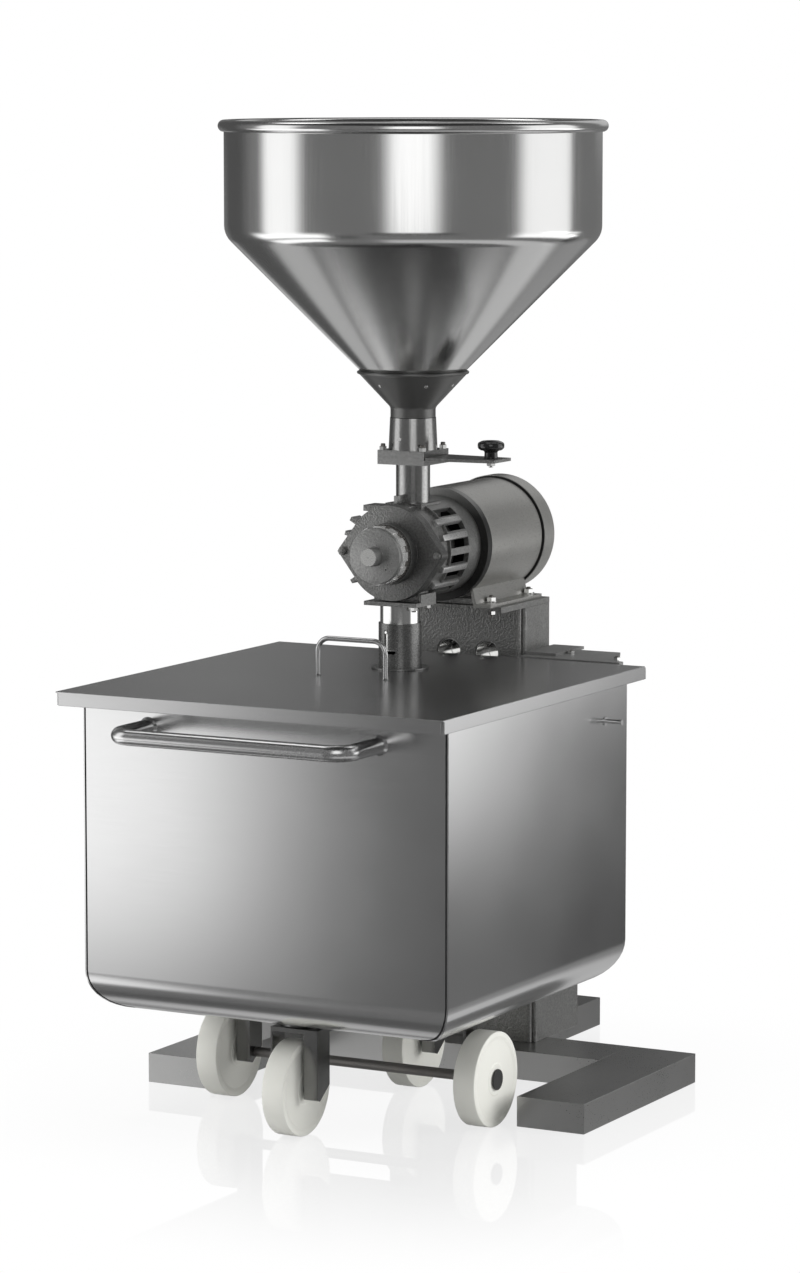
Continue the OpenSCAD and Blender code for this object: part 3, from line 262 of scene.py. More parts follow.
# Pieces that look unlike the rest of their slot. The front cover and the motor's flange lie partly in
# the shade of what stands before them; that shade is painted into their colour, which darkens towards one
# end.
OWN_LOOKS = {
    "inlet_tube": FINE_HAMMER,
    "neck_flange": FINE_HAMMER,
    "outlet_sleeve": paint("mottled_grey", (0.2, 0.2, 0.197), 0.28, grain=3.2, depth=0.16, metallic=0.8,
                           speckle=0.24),
    "collar_funnel": paint("smooth_dark_grey", (0.155, 0.155, 0.152), 0.34, grain=2, depth=0.04),
    # Painted shade: the flange's colour darkens towards its foot and stays light near its top.
    "motor_flange": paint("flange_grey", (0.27, 0.27, 0.265), 0.38, depth=0.2, vary=0.05, metallic=0.7,
                          speckle=0.1, painted_shade=("Z", 0.72, 0.95, 0.14, 1.0)),
    # Painted shade: the cover's colour darkens towards its right end.
    "front_cover": paint("cover_grey", (0.26, 0.26, 0.255), 0.33, depth=0.56, speckle=0.3,
                         painted_shade=("X", 0.3, 0.85, 1.0, 0.5)),
    # Painted shade: the lid is the same sheet as the bin, given a darker colour for the darker reflection it
    # shows.
    "bin_lid": metal("lid_sheet", (0.52, 0.52, 0.52), 0.25, **BIN_SHEET),
    "dock_bracket": paint("dock_grey", (0.2, 0.2, 0.197), 0.4, metallic=0.25, specular=0.5, speckle=0.1),
    "axle_caps": LOOKS["fan_plastic"],
    "wheel_axle": LOOKS["core_iron"],
    # Painted highlight: the housing's hammered paint, made lighter for the light the ribs' raised faces
    # catch.
    "lantern_ribs": paint("rib_grey_painted_highlight", (0.46, 0.46, 0.455), 0.3, grain=2.4, vary=0.05, metallic=0.7,
                          speckle=0.12),
    "ring_cap": paint("cap_grey", (0.31, 0.31, 0.305), 0.32, grain=2.6, depth=0.34, vary=0.05, speckle=0.24),
    "ring_rim": paint("facet_steel", (0.7, 0.7, 0.69), 0.25, grain=2, depth=0.02, vary=0.03, metallic=0.6),
}


# The model's own nodes

WELD_GAP = 0.01
EDGE_ROUND = 0.8
# Faces that turn by less than the first angle become one, and edges sharper than the second are rounded.
FLAT_ANGLE = radians(0.5)
EDGE_ANGLE = radians(38)


def dress(node):
    """A CAD node keeps its mesh: its split edges are welded and rounded by modifiers."""
    node.modifiers.new("weld", "WELD").merge_threshold = WELD_GAP * MM
    flats = node.modifiers.new("flats", "DECIMATE")
    flats.decimate_type = "DISSOLVE"
    flats.angle_limit = FLAT_ANGLE
    bevel = node.modifiers.new("edges", "BEVEL")
    bevel.width = EDGE_ROUND * MM
    bevel.segments = 2
    bevel.limit_method = "ANGLE"
    bevel.angle_limit = EDGE_ANGLE
    weighted = node.modifiers.new("shading", "WEIGHTED_NORMAL")
    weighted.mode = "FACE_AREA"
    weighted.weight = 100
    for face in node.data.polygons:
        face.use_smooth = True


for name, node in frame["nodes"].items():
    slot = node.data.materials[0].name
    node.data.materials.clear()
    node.data.materials.append(OWN_LOOKS.get(name, LOOKS[slot]))
    dress(node)


# Shapes of the added pieces

MERGE_GAP = 0.002


def new_object(name, shape, look):
    mesh = bpy.data.meshes.new(name)
    shape.to_mesh(mesh)
    shape.free()
    mesh.materials.append(look)
    made = bpy.data.objects.new(name, mesh)
    bpy.context.scene.collection.objects.link(made)
    return made


def clean(shape):
    bmesh.ops.remove_doubles(shape, verts=shape.verts, dist=MERGE_GAP * MM)
    bmesh.ops.recalc_face_normals(shape, faces=shape.faces)


def piece(name, shape, slot, body, stands_for=(), sharp=35):
    """The finished piece: clean, smooth but for edges sharper than sharp degrees, and riding its body."""
    clean(shape)
    made = new_object(name, shape, OWN_LOOKS.get(name, LOOKS[slot]))
    made.data.shade_smooth()
    made.data.set_sharp_from_angle(angle=radians(sharp))
    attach(made, body)
    if stands_for:
        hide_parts(*stands_for)


def turn_by(vector, angle):
    x, y = vector
    return Vector((x * cos(angle) - y * sin(angle), x * sin(angle) + y * cos(angle)))


def fillet(points, default=0.0, steps=5):
    """A line of (a, b) or (a, b, radius) points with its inner corners rounded, in steps a right angle."""
    line = []
    for index, point in enumerate(points):
        radius = point[2] if len(point) > 2 else default
        corner = Vector(point[:2])
        if radius <= 0 or index in (0, len(points) - 1):
            line.append(corner)
            continue
        back = Vector(points[index - 1][:2]) - corner
        ahead = Vector(points[index + 1][:2]) - corner
        half = back.angle(ahead) / 2
        back.normalize()
        ahead.normalize()
        reach = radius / tan(half)
        middle = corner + (back + ahead).normalized() * radius / sin(half)
        first = corner + back * reach - middle
        last = corner + ahead * reach - middle
        turn = atan2(first.x * last.y - first.y * last.x, first.dot(last))
        count = max(2, ceil(abs(turn) / radians(90) * steps))
        line += [middle + turn_by(first, turn * step / count) for step in range(count + 1)]
    return line


# An axis with more of X in it than this counts its turn from Y, any other from X.
MOSTLY_X = 0.9


def turned(shape, profile, place, axis, steps, closed):
    """Turns a line of (radius, height) points in metres about an axis through place."""
    side = Y if abs(axis.x) > MOSTLY_X else X
    side = (side - axis * side.dot(axis)).normalized()
    other = axis.cross(side)
    ways = [side * cos(2 * pi * step / steps) + other * sin(2 * pi * step / steps) for step in range(steps)]
    rings = []
    for radius, height in profile:
        if radius < MERGE_GAP * MM:
            rings.append([shape.verts.new(place + axis * height)] * steps)
        else:
            rings.append([shape.verts.new(place + axis * height + way_out * radius) for way_out in ways])
    pairs = list(zip(rings, rings[1:]))
    if closed:
        pairs.append((rings[-1], rings[0]))
    for low, high in pairs:
        for step in range(steps):
            after = (step + 1) % steps
            corners = list(dict.fromkeys([low[step], low[after], high[after], high[step]]))
            if len(corners) > 2:
                shape.faces.new(corners)


def lathe(shape, points, place, axis=Z, default=0.0, steps=64, closed=False):
    """A turned solid from (radius, height, fillet) points in millimetres."""
    line = [point * MM for point in fillet(points, default)]
    turned(shape, line, place, axis, steps, closed)


def rod(shape, radius, start, end, place, axis, steps):
    lathe(shape, [(0, start), (radius, start), (radius, end), (0, end)], place, axis, steps=steps)


def hoop(shape, inner, outer, start, end, place, axis, steps):
    points = [(inner, start), (outer, start), (outer, end), (inner, end)]
    lathe(shape, points, place, axis, steps=steps, closed=True)


NUT_CHAMFER_SHARE = 0.1
BOLT_CHAMFER_SHARE = 0.2


def nut(shape, place, axis, radius, height, bolt, end, ends=None):
    """A chamfered hexagon, and the bolt's end through it, in the shape ends where that is given."""
    cut = radius * NUT_CHAMFER_SHARE
    lathe(shape, [(0, 0), (radius, 0), (radius, height - cut / 2), (radius - cut, height), (0, height)],
          place, axis, steps=6)
    cut = bolt * BOLT_CHAMFER_SHARE
    if ends is None:
        ends = shape
    lathe(ends, [(0, 0), (bolt, 0), (bolt, end - cut), (bolt - cut, end), (0, end)], place, axis, steps=24)


def prism(shape, outline, place, across, up, along, length):
    """A straight solid over an outline of (across, up) points in millimetres."""
    flat = [across * a + up * b for a, b in outline]
    near = [shape.verts.new(place + point * MM) for point in flat]
    far = [shape.verts.new(place + (point + along * length) * MM) for point in flat]
    shape.faces.new(near)
    shape.faces.new(far[::-1])
    for index in range(len(outline)):
        after = (index + 1) % len(outline)
        shape.faces.new([near[index], near[after], far[after], far[index]])


def soften(shape, width, sharp, segments):
    """Rounds the edges that are sharper than sharp degrees."""
    clean(shape)
    edges = [edge for edge in shape.edges
             if len(edge.link_faces) == 2 and edge.calc_face_angle(0) > radians(sharp)]
    bmesh.ops.bevel(shape, geom=edges, offset=width * MM, segments=segments, profile=0.5, affect="EDGES")


def middle_of(node):
    low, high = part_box(node)
    return (low + high) / 2


def level_of(node, top=False):
    """The height of the underside of a node, or of its top, in millimetres."""
    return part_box(node)[int(top)].z / MM


# The hopper's axis and the motor's shaft.
AXIS_Y = middle_of("hopper_bowl").y / MM
SHAFT_Z = middle_of("motor_shell").z / MM
NECK_TOP = level_of("neck_flange", top=True)


def spot(x, y, z):
    """A place in millimetres, with y from the hopper's axis."""
    return Vector((x, y + AXIS_Y, z)) * MM


def level_way(degrees):
    """The level direction that lies so many degrees from the right."""
    return Vector((cos(radians(degrees)), sin(radians(degrees)), 0))


# Hopper and funnel

HOPPER_SHEET = 3
HOPPER_BEAD = 10
HOPPER_MOUTH = 55.8
# The straight wall, from the fold up to the bead's middle.
HOPPER_WALL = 182
FOLD_OUTSIDE = 38
FOLD_INSIDE = 36
# The fold's inner corner lies higher by this share of the sheet.
FOLD_RISE_SHARE = 0.41
# The wall ends this share of the bead's radius under the bead's middle.
WALL_END_SHARE = 0.8
BEAD_START = -70
BEAD_TURN = 250
BEAD_STEPS = 20


def hopper():
    """One sheet: the cone, its rounded fold, the straight wall and the rolled rim."""
    low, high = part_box("hopper_bowl")
    wall = (high.x - low.x) / 2 / MM - HOPPER_BEAD
    rim = high.z / MM - HOPPER_BEAD
    foot = low.z / MM
    fold = rim - HOPPER_WALL
    slope = Vector((wall - HOPPER_MOUTH, fold - foot)).normalized()
    inward = Vector((-slope.y, slope.x)) * HOPPER_SHEET
    outside = [(HOPPER_MOUTH, foot), (wall, fold, FOLD_OUTSIDE), (wall, rim - HOPPER_BEAD * WALL_END_SHARE)]
    bead = []
    for step in range(BEAD_STEPS + 1):
        angle = radians(BEAD_START + BEAD_TURN * step / BEAD_STEPS)
        bead.append(Vector((wall + HOPPER_BEAD * cos(angle), rim + HOPPER_BEAD * sin(angle))))
    inner_wall = wall - HOPPER_SHEET
    inside = [
        (inner_wall, rim),
        (inner_wall, fold + HOPPER_SHEET * FOLD_RISE_SHARE, FOLD_INSIDE),
        (HOPPER_MOUTH + inward.x, foot + inward.y),
    ]
    line = fillet(outside, steps=10) + bead + fillet(inside, steps=10)
    shape = bmesh.new()
    turned(shape, [point * MM for point in line], spot(0, 0, 0), Z, 192, closed=True)
    piece("hopper_shell", shape, "hopper_steel", "frame", ["hopper_bowl"])


hopper()

FUNNEL_BORE = 24
FUNNEL_SPIGOT = 33.2
FUNNEL_TUBE = 38.3
# The screws of the funnel's lip: where they stand, how far out and down, and how they tilt.
LIP_SCREWS = (-110, -45, 0, 70, 135, 190)
LIP_SCREW_OUT = 74.6
LIP_SCREW_DROP = 22.2
LIP_SCREW_TILT = radians(43)
# The one screw of the tube.
TUBE_SCREW = -95
TUBE_SCREW_OUT = 40
TUBE_SCREW_DROP = 35.1
SCREW_SINK = 2


def screw_head(shape, radius, height, corner, place, axis):
    """A round head with a socket in it."""
    socket = radius - 1.5
    socket_floor = height - 0.8
    lathe(shape, [
        (0, -SCREW_SINK), (radius, -SCREW_SINK), (radius, 1, corner), (socket, height, 1),
        (socket - 0.2, socket_floor), (0, socket_floor)], place, axis, steps=20)


def collar():
    """The funnel under the hopper: tube, cone, and a lip turned outwards."""
    top = level_of("collar", top=True)
    foot = level_of("collar")
    outside = [
        (FUNNEL_BORE, foot), (FUNNEL_SPIGOT, foot), (FUNNEL_SPIGOT, NECK_TOP),
        (FUNNEL_TUBE, NECK_TOP, 0.6), (FUNNEL_TUBE, top - 61.5, 9)]
    lip = [(90.6, top - 5.6, 1.5), (94.2, top - 4.2, 1), (95.2, top - 1.6, 1.2), (93.6, top, 0.5)]
    inside = [(88.7, top, 0.5), (33.3, top - 55.5, 6), (FUNNEL_BORE, top - 70)]
    shape = bmesh.new()
    lathe(shape, outside + lip + inside, spot(0, 0, 0), default=0.3, steps=128, closed=True)
    piece("collar_funnel", shape, "hammer_paint", "frame", ["collar"])
    shape = bmesh.new()
    for degrees in LIP_SCREWS:
        out = level_way(degrees)
        place = spot(0, 0, top - LIP_SCREW_DROP) + out * LIP_SCREW_OUT * MM
        axis = (out * cos(LIP_SCREW_TILT) - Z * sin(LIP_SCREW_TILT)).normalized()
        screw_head(shape, 3.2, 2, 0.8, place, axis)
    out = level_way(TUBE_SCREW)
    place = spot(0, 0, NECK_TOP - TUBE_SCREW_DROP) + out * TUBE_SCREW_OUT * MM
    screw_head(shape, 2.9, 1.8, 0.7, place, out)
    piece("collar_screw_heads", shape, "bright_steel", "frame", ["collar_screws"])


collar()


# Gate

# From the stem's foot to the top of the cap, as (radius, height, fillet).
KNOB = [
    (0, 0), (11.5, 0, 0.8), (10.8, 13, 4), (18, 14.4, 3),
    (22.5, 18, 5), (22.5, 26.5, 5), (15, 30, 8), (0, 30.2)]


def gate_parts():
    """The knob on the gate's arm, and the nut under it."""
    knob_x = middle_of("gate_knob").x / MM
    shape = bmesh.new()
    lathe(shape, KNOB, spot(knob_x, 0, level_of("gate_knob")))
    piece("mushroom_knob", shape, "knob_plastic", "gate", ["gate_knob"])
    shape = bmesh.new()
    nut(shape, spot(knob_x, 0, level_of("gate_plate")), -Z, radius=8.1, height=6.6, bolt=4, end=9.6)
    piece("knob_nut", shape, "bright_steel", "gate", ["gate_nut"])


gate_parts()


# Nuts and bolts. The ends of the bolts are one dark piece.

BOLT = 4
FLANGE_SHEET = 10
FLANGE_BOLT = 37.5
FLANGE_BOLT_LENGTH = 22
FOOT_SHEET = 6
FOOT_BOLT_X = 77
FOOT_BOLT_Y = (141.7, 284.8)
FOOT_BOLT_DROP = 1
FOOT_BOLT_LENGTH = 18
WASHER = 10.5
WASHER_HEIGHT = 1.8
# How deep one piece stands in the next.
SINK = 0.2
EAR_X = 90
EAR_FRONT = -83
OUTLET_BOLTS = ((-36, -24.7), (40, -72.2), (40, -24.7))
DOCK_BOLTS = ((175.2, 254.7), (280.8, 217.7))


def flange_nuts(ends):
    """Four nuts on the flange over the gate."""
    shape = bmesh.new()
    for x in (-FLANGE_BOLT, FLANGE_BOLT):
        for y in (-FLANGE_BOLT, FLANGE_BOLT):
            place = spot(x, y, level_of("neck_flange") + FLANGE_SHEET)
            nut(shape, place, Z, radius=6.8, height=6.2, bolt=BOLT, end=10.8, ends=ends)
            rod(ends, BOLT, -FLANGE_BOLT_LENGTH, 0, place, Z, 24)
    piece("flange_nuts", shape, "bright_steel", "frame", ["flange_bolts"])


def foot_nuts(ends):
    """The motor's feet: a washer and a nut over each, and a nut under the head plate."""
    shape = bmesh.new()
    washer_z = level_of("motor_rails", top=True) + FOOT_SHEET
    under = level_of("motor_rails")
    for x in (-FOOT_BOLT_X, FOOT_BOLT_X):
        for y in FOOT_BOLT_Y:
            lathe(shape, [(0, 0), (WASHER, 0, 0.5), (WASHER, WASHER_HEIGHT, 0.5), (0, WASHER_HEIGHT)],
                  spot(x, y, washer_z), steps=40)
            place = spot(x, y, washer_z + WASHER_HEIGHT - SINK)
            nut(shape, place, Z, radius=8.6, height=6.8, bolt=BOLT, end=10, ends=ends)
            nut(shape, spot(x, y, under), -Z, radius=7.6, height=6, bolt=BOLT, end=12, ends=ends)
            rod(ends, BOLT, 0, FOOT_BOLT_LENGTH, spot(x, y, under - FOOT_BOLT_DROP), Z, 24)
    piece("foot_nuts", shape, "bright_steel", "frame", ["foot_bolts"])


def ear_bolts():
    """A nut on the front cover's left ear, and a flat button on its right one."""
    shape = bmesh.new()
    nut(shape, spot(-EAR_X, EAR_FRONT, SHAFT_Z), -Y, radius=7.4, height=6, bolt=3.4, end=7)
    button = [(0, 0), (6.6, 0), (6.3, 3.4, 1.2), (0, 4.2)]
    lathe(shape, button, spot(EAR_X, EAR_FRONT, SHAFT_Z), -Y, steps=40)
    piece("ear_bolts", shape, "hammer_paint", "frame", ["housing_bolts"])


def outlet_nuts(ends):
    shape = bmesh.new()
    for x, y in OUTLET_BOLTS:
        place = spot(x, y, level_of("outlet_plate"))
        nut(shape, place, -Z, radius=6.7, height=6, bolt=BOLT, end=8.4, ends=ends)
    piece("outlet_nuts", shape, "bright_steel", "frame", ["housing_bolts"])


def dock_screws(ends):
    """Two screws on the lower plate of the docking bracket."""
    shape = bmesh.new()
    for x, y in DOCK_BOLTS:
        place = spot(x, y, middle_of("dock_bracket").z / MM)
        nut(shape, place, Z, radius=6.5, height=5, bolt=3.5, end=6.5, ends=ends)
    piece("dock_screws", shape, "bright_steel", "frame")


bolt_ends = bmesh.new()
flange_nuts(bolt_ends)
foot_nuts(bolt_ends)
ear_bolts()
outlet_nuts(bolt_ends)
dock_screws(bolt_ends)
piece("bolt_ends", bolt_ends, "core_iron", "frame")


# Mill

# The ribs' places round the shaft, in degrees from the right.
RIBS = (38, 18, -20, -43, 142, 162, -160, -137)
# Each rib's section: half its width at the foot and at the crown, and their radii.
RIB_FOOT, RIB_FOOT_R = 6, 76
RIB_CROWN, RIB_CROWN_R = 5.2, 86.2
RIB_FRONT = -44
RIB_LENGTH = 88


def lantern_ribs():
    """Bars that stand up from the chamber's drum and run over the lantern, between its windows. Their paint
    is lighter than the housing's: a painted highlight.
    """
    outline = [
        (-RIB_FOOT, RIB_FOOT_R), (RIB_FOOT, RIB_FOOT_R), (RIB_CROWN, RIB_CROWN_R), (-RIB_CROWN, RIB_CROWN_R)]
    shape = bmesh.new()
    for degrees in RIBS:
        angle = radians(degrees)
        out = Vector((cos(angle), 0, sin(angle)))
        side = Vector((-sin(angle), 0, cos(angle)))
        prism(shape, outline, spot(0, RIB_FRONT, SHAFT_Z), side, out, Y, RIB_LENGTH)
    soften(shape, 1.2, sharp=30, segments=2)
    piece("lantern_ribs", shape, "hammer_paint", "frame")


lantern_ribs()


# The radii of a black ring that stands for the shade in the groove before the fan cover, and how far it
# stands before the cover and reaches into it: painted shade.
GROOVE_SHADE_INSIDE = 93
GROOVE_SHADE_OUTSIDE = 100.9
GROOVE_SHADE_BEFORE = 1.15
GROOVE_SHADE_INTO = 0.15
# The joint over the neck: the gap inside it, how far it stands out, and its foot and top from the neck's top.
JOINT_GAP = 0.1
JOINT_OUT = 0.2
JOINT_FOOT = -0.5
JOINT_TOP = 0.9


def joint_and_groove_shade():
    """A black ring before the fan cover, painted shade in the groove there, and the dark joint over the neck.
    """
    shape = bmesh.new()
    cover = Vector((0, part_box("fan_cover")[0].y, SHAFT_Z * MM))
    hoop(shape, GROOVE_SHADE_INSIDE, GROOVE_SHADE_OUTSIDE, -GROOVE_SHADE_BEFORE, GROOVE_SHADE_INTO, cover, Y, 128)
    inside = FUNNEL_SPIGOT + JOINT_GAP
    outside = FUNNEL_TUBE + JOINT_OUT
    hoop(shape, inside, outside, JOINT_FOOT, JOINT_TOP, spot(0, 0, NECK_TOP), Z, 96)
    piece("neck_joint_and_groove_shade", shape, "seam_rubber", "frame")


joint_and_groove_shade()

RING_R = 49.5
NOTCHES = 12
NOTCH_R = 46.6
# From a notch's middle, in degrees: the end of its floor, its mouth, and the edge of the facet beside it.
NOTCH_FLOOR = 5.8
NOTCH_MOUTH = 6.1
FACET_EDGE = 9.2
RING_WIDTH = 19
TEETH = 60
TOOTH_R = 50.2
GAP_R = 49.2
TEETH_WIDTH = 7
# How far before the hopper's axis each part of the ring has its front, and the spindle its back.
SPINDLE_BACK = 53
HUB_BACK = 104
TEETH_FRONT = 110.4
CAP_BACK = 129
RING_FRONT = 129.4
CAP_FRONT = 137.4
BOSS_FRONT = 159.2
HUB_R = 20
CAP_R = 47.5
BOSS_R = 16
SOCKET_X = 23.8
SOCKET_R = 2.9
SOCKET_DROP = 0.5
CAP_HOLE_OUT = 21.4
CAP_HOLE_R = 1.4


def ring_rim(centre):
    """The notched rim, with a facet on each side of a notch."""
    pitch = 360 / NOTCHES
    corners = [
        (-FACET_EDGE, RING_R), (-NOTCH_MOUTH, RING_R), (-NOTCH_FLOOR, NOTCH_R),
        (NOTCH_FLOOR, NOTCH_R), (NOTCH_MOUTH, RING_R), (FACET_EDGE, RING_R), (pitch / 2, RING_R)]
    outline = []
    for index in range(NOTCHES):
        for turn, radius in corners:
            angle = radians(pitch * (index + 0.5) + turn)
            outline.append((radius * cos(angle), radius * sin(angle)))
    shape = bmesh.new()
    prism(shape, outline, centre - Y * RING_FRONT * MM, X, Z, Y, RING_WIDTH)
    soften(shape, 0.4, sharp=25, segments=1)
    piece("ring_rim", shape, "machined_steel", "adjuster", ["adjusting_ring"])


def ring_teeth(centre):
    """Fine teeth behind the rim."""
    outline = []
    for index in range(2 * TEETH):
        radius = TOOTH_R if index % 2 else GAP_R
        angle = radians(180 / TEETH * index)
        outline.append((radius * cos(angle), radius * sin(angle)))
    shape = bmesh.new()
    prism(shape, outline, centre - Y * TEETH_FRONT * MM, X, Z, Y, TEETH_WIDTH)
    piece("ring_teeth", shape, "core_iron", "adjuster", ["adjusting_ring"], sharp=20)


def ring_cap(centre):
    """The cap with its boss, and the spindle behind it."""
    shape = bmesh.new()
    lathe(shape, [
        (0, HUB_BACK), (HUB_R, HUB_BACK), (HUB_R, CAP_BACK), (CAP_R, CAP_BACK), (CAP_R, CAP_FRONT, 1.4),
        (BOSS_R, CAP_FRONT, 1), (BOSS_R, BOSS_FRONT, 0.8), (0, BOSS_FRONT)], centre, -Y, steps=96)
    rod(shape, HUB_R, SPINDLE_BACK, HUB_BACK, centre, -Y, 64)
    piece("ring_cap", shape, "hammer_paint", "adjuster", ["adjusting_ring"])


def ring_marks(centre):
    """The boss's bright face, the rim of a square socket, and under it a flat black disc: painted shade where
    a hole is.
    """
    shape = bmesh.new()
    back = BOSS_FRONT - 0.1
    front = BOSS_FRONT + 0.4
    outline = [(1.2, back), (BOSS_R - 1, back), (BOSS_R - 1.4, front), (1.4, front)]
    lathe(shape, outline, centre, -Y, closed=True)
    hoop(shape, SOCKET_R - 1, SOCKET_R, 0, 0.35, spot(SOCKET_X, -CAP_FRONT, SHAFT_Z - SOCKET_DROP), -Y, 4)
    piece("boss_face", shape, "machined_steel", "adjuster", ["adjusting_ring"])
    shape = bmesh.new()
    # Painted shade: a thin black disc in place of a hole's dark inside.
    rod(shape, CAP_HOLE_R, 0, 0.15, spot(CAP_HOLE_OUT, -CAP_FRONT, SHAFT_Z - CAP_HOLE_OUT), -Y, 24)
    piece("cap_hole_painted_shade", shape, "seam_rubber", "adjuster", ["adjusting_ring"])


shaft = spot(0, 0, SHAFT_Z)
ring_rim(shaft)
ring_teeth(shaft)
ring_cap(shaft)
ring_marks(shaft)


# Bin

WHEELS = {
    "fixed_wheel_left": "left_wheel",
    "fixed_wheel_right": "right_wheel",
    "front_caster_wheel": "front_swivel_wheel",
    "rear_caster_wheel": "rear_swivel_wheel",
}
# Radii of a wheel's bore and hub, of the web between hub and rim, and of the tread's crown.
WHEEL_BORE = 8.7
WHEEL_HUB = 26
WEB_START = 28
WEB_END = 66
WHEEL_RIM = 72
WHEEL_CROWN = 60


def wheels():
    """Each wheel: a hub, a web that lies a little deeper, a rounded rim and a crowned tread."""
    for node, body in WHEELS.items():
        low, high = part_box(node)
        half = (high.x - low.x) / 2 / MM
        radius = (high.z - low.z) / 2 / MM
        side = [
            (WHEEL_BORE, half - 0.5), (WHEEL_HUB, half, 0.8), (WEB_START, half - 1.2, 1),
            (WEB_END, half - 2.2, 6), (WHEEL_RIM, half, 4), (radius - 0.3, half - 0.4, 1.6)]
        mirrored = [(out, -across, *corner) for out, across, *corner in side[::-1]]
        shape = bmesh.new()
        lathe(shape, side + [(radius, 0, WHEEL_CROWN)] + mirrored, middle_of(node), X, steps=128, closed=True)
        piece(node + "_tyre", shape, "wheel_nylon", body, [node])


wheels()

HANDLE_TUBE = 13.5
GRIP_ROD = 4.3
# The collars' sections, as (radius, height, fillet).
HANDLE_WELD = [(13.3, 0), (17, 0), (16, 1.6, 1), (13.6, 4.5, 2), (13.3, 5)]
GRIP_WELD = [(4.2, 0), (6.2, 0), (5.4, 1, 0.6), (4.4, 2.6, 1), (4.2, 3)]


def handle_welds():
    """Weld collars where the push handle meets the bin and where the grip stands on the lid."""
    low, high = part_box("push_handle")
    reach = high.x - HANDLE_TUBE * MM
    shape = bmesh.new()
    for x in (-reach, reach):
        place = Vector((x, high.y, low.z + HANDLE_TUBE * MM))
        lathe(shape, HANDLE_WELD, place, -Y, steps=48, closed=True)
    piece("handle_welds", shape, "handle_steel", "bin")
    low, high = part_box("lid_handle")
    shape = bmesh.new()
    for x in (low.x + GRIP_ROD * MM, high.x - GRIP_ROD * MM):
        place = Vector((x, (low.y + high.y) / 2, low.z))
        lathe(shape, GRIP_WELD, place, Z, steps=32, closed=True)
    piece("grip_welds", shape, "handle_steel", "bin")


handle_welds()


# Camera: it stands where the photograph's does. The photograph's height and focal length are in pixels.

PHOTO_HEIGHT = 1273
PHOTO_FOCUS = 4571
SENSOR = 36
CAMERA_PLACE = (3.6195, -6.79595, 1.750)
CAMERA_DOWN = 7.165
CAMERA_TURN = 28.14


def camera():
    made = bpy.data.objects.new("camera", bpy.data.cameras.new("camera"))
    made.location = CAMERA_PLACE
    made.rotation_euler = (radians(90 - CAMERA_DOWN), 0, radians(CAMERA_TURN))
    made.data.lens = PHOTO_FOCUS / PHOTO_HEIGHT * SENSOR
    made.data.sensor_width = SENSOR
    made.data.clip_end = 100
    bpy.context.scene.collection.objects.link(made)
    bpy.context.scene.camera = made


camera()


# Studio

# The directions of panels and lamps are counted in degrees to the right from this one, which points to
# the camera. The count goes round from SPLIT.
STUDIO_TURN = 28.1
SPLIT = -115
WALL_R = 3.0
WALL_TOP = 4.2
WALL_FOOT = -3.0
WALL_GREY = 0.18
ABOVE_GREY = 0.04
BELOW_GREY = 0.12
# Each panel: left edge, right edge, foot, top, each with its softness, and strength. A panel with a
# strength below nought is a dark one. What it shows in is named beside it.
PANELS = [
    ((-99, 4), (-70, 6), (0.7, 0.3), (3.3, 0.3), 1.1),  # left side of the hopper and the neck
    ((-112, 6), (-60.5, 2.2), (-1.5, 0.25), (-0.5, 0.2), 1.3),  # left base arm, bend of the bin
    ((-112, 6), (-54, 4.6), (-0.2, 0.24), (0.7, 0.3), 1.36),  # left half of the bin's front
    ((-14, 6), (14, 6), (1.0, 0.14), (3.3, 0.3), 1.2),  # middle of the hopper's wall
    ((-24, 8), (24, 8), (0.6, 0.15), (1.0, 0.1), -0.13),  # middle of the neck
    ((65, 6), (106, 2), (0.7, 0.3), (3.3, 0.3), 1.0),  # right side of the hopper and the neck
    ((84, 4), (118, 3), (0.78, 0.05), (0.98, 0.06), 0.9),  # right edge of the neck
    ((65, 6), (115.8, 1.5), (0.0, 0.2), (0.7, 0.3), 1.3),  # front part of the bin's side
    ((110, 4), (119.5, 3), (0.36, 0.06), (0.6, 0.12), 1.3),  # side edge of the lid
    ((112, 4), (130, 6), (-1.4, 0.2), (-0.55, 0.12), 0.12),  # side of the right base arm and the forks
    ((116.5, 2), (126, 4), (-0.45, 0.15), (0.2, 0.1), -0.13),  # back part of the bin's side
    ((-50, 3), (-34, 5), (-0.5, 0.2), (0.5, 0.2), -0.08),  # right end of the bin's front
    ((140, 6), (172, 6), (1.7, 0.3), (3.5, 0.3), 0.36),  # top of the motor
    ((134, 6), (170, 5), (-0.8, 0.3), (0.45, 0.15), 0.13),  # right flank of the cone
    ((165, 3), (174, 2), (0.5, 0.1), (0.95, 0.06), -0.13),  # top of the right base arm
    ((173.8, 1.4), (181, 2), (-5, 0.5), (5, 0.5), -0.17),  # right part of the lid
    ((182, 3), (200, 5), (0.2, 0.2), (0.86, 0.1), 0.42),  # top of the left base arm
    ((186, 4), (210, 5), (0.86, 0.1), (1.5, 0.2), 0.07),  # left part of the lid
    ((196, 8), (242, 8), (-5, 0.5), (5, 0.5), -0.09),  # left flank of the cone
    ((-20, 10), (250, 6), (-2.8, 0.2), (-0.95, 0.2), 0.4),  # low band for views from the back and the right
]
# Round soft lights: direction, distance from the middle, radius, strength.
ABOVE = [(-126, 1.95, 1.0, 2.1), (126, 1.95, 0.95, 1.6), (180, 1.5, 1.2, 0.7)]
BELOW = [(-130, 2.0, 1.4, 0.5), (130, 2.0, 1.4, 0.55)]
# The share of a round light's radius that has its full strength.
FULL_SHARE = 0.3


def way(degrees):
    """The direction on the ground that lies so far to the right of the camera's, seen from the object."""
    angle = radians(STUDIO_TURN) + radians(degrees)
    return sin(angle), -cos(angle), 0.0


def stage(name, shape, look):
    made = new_object(name, shape, look)
    return made


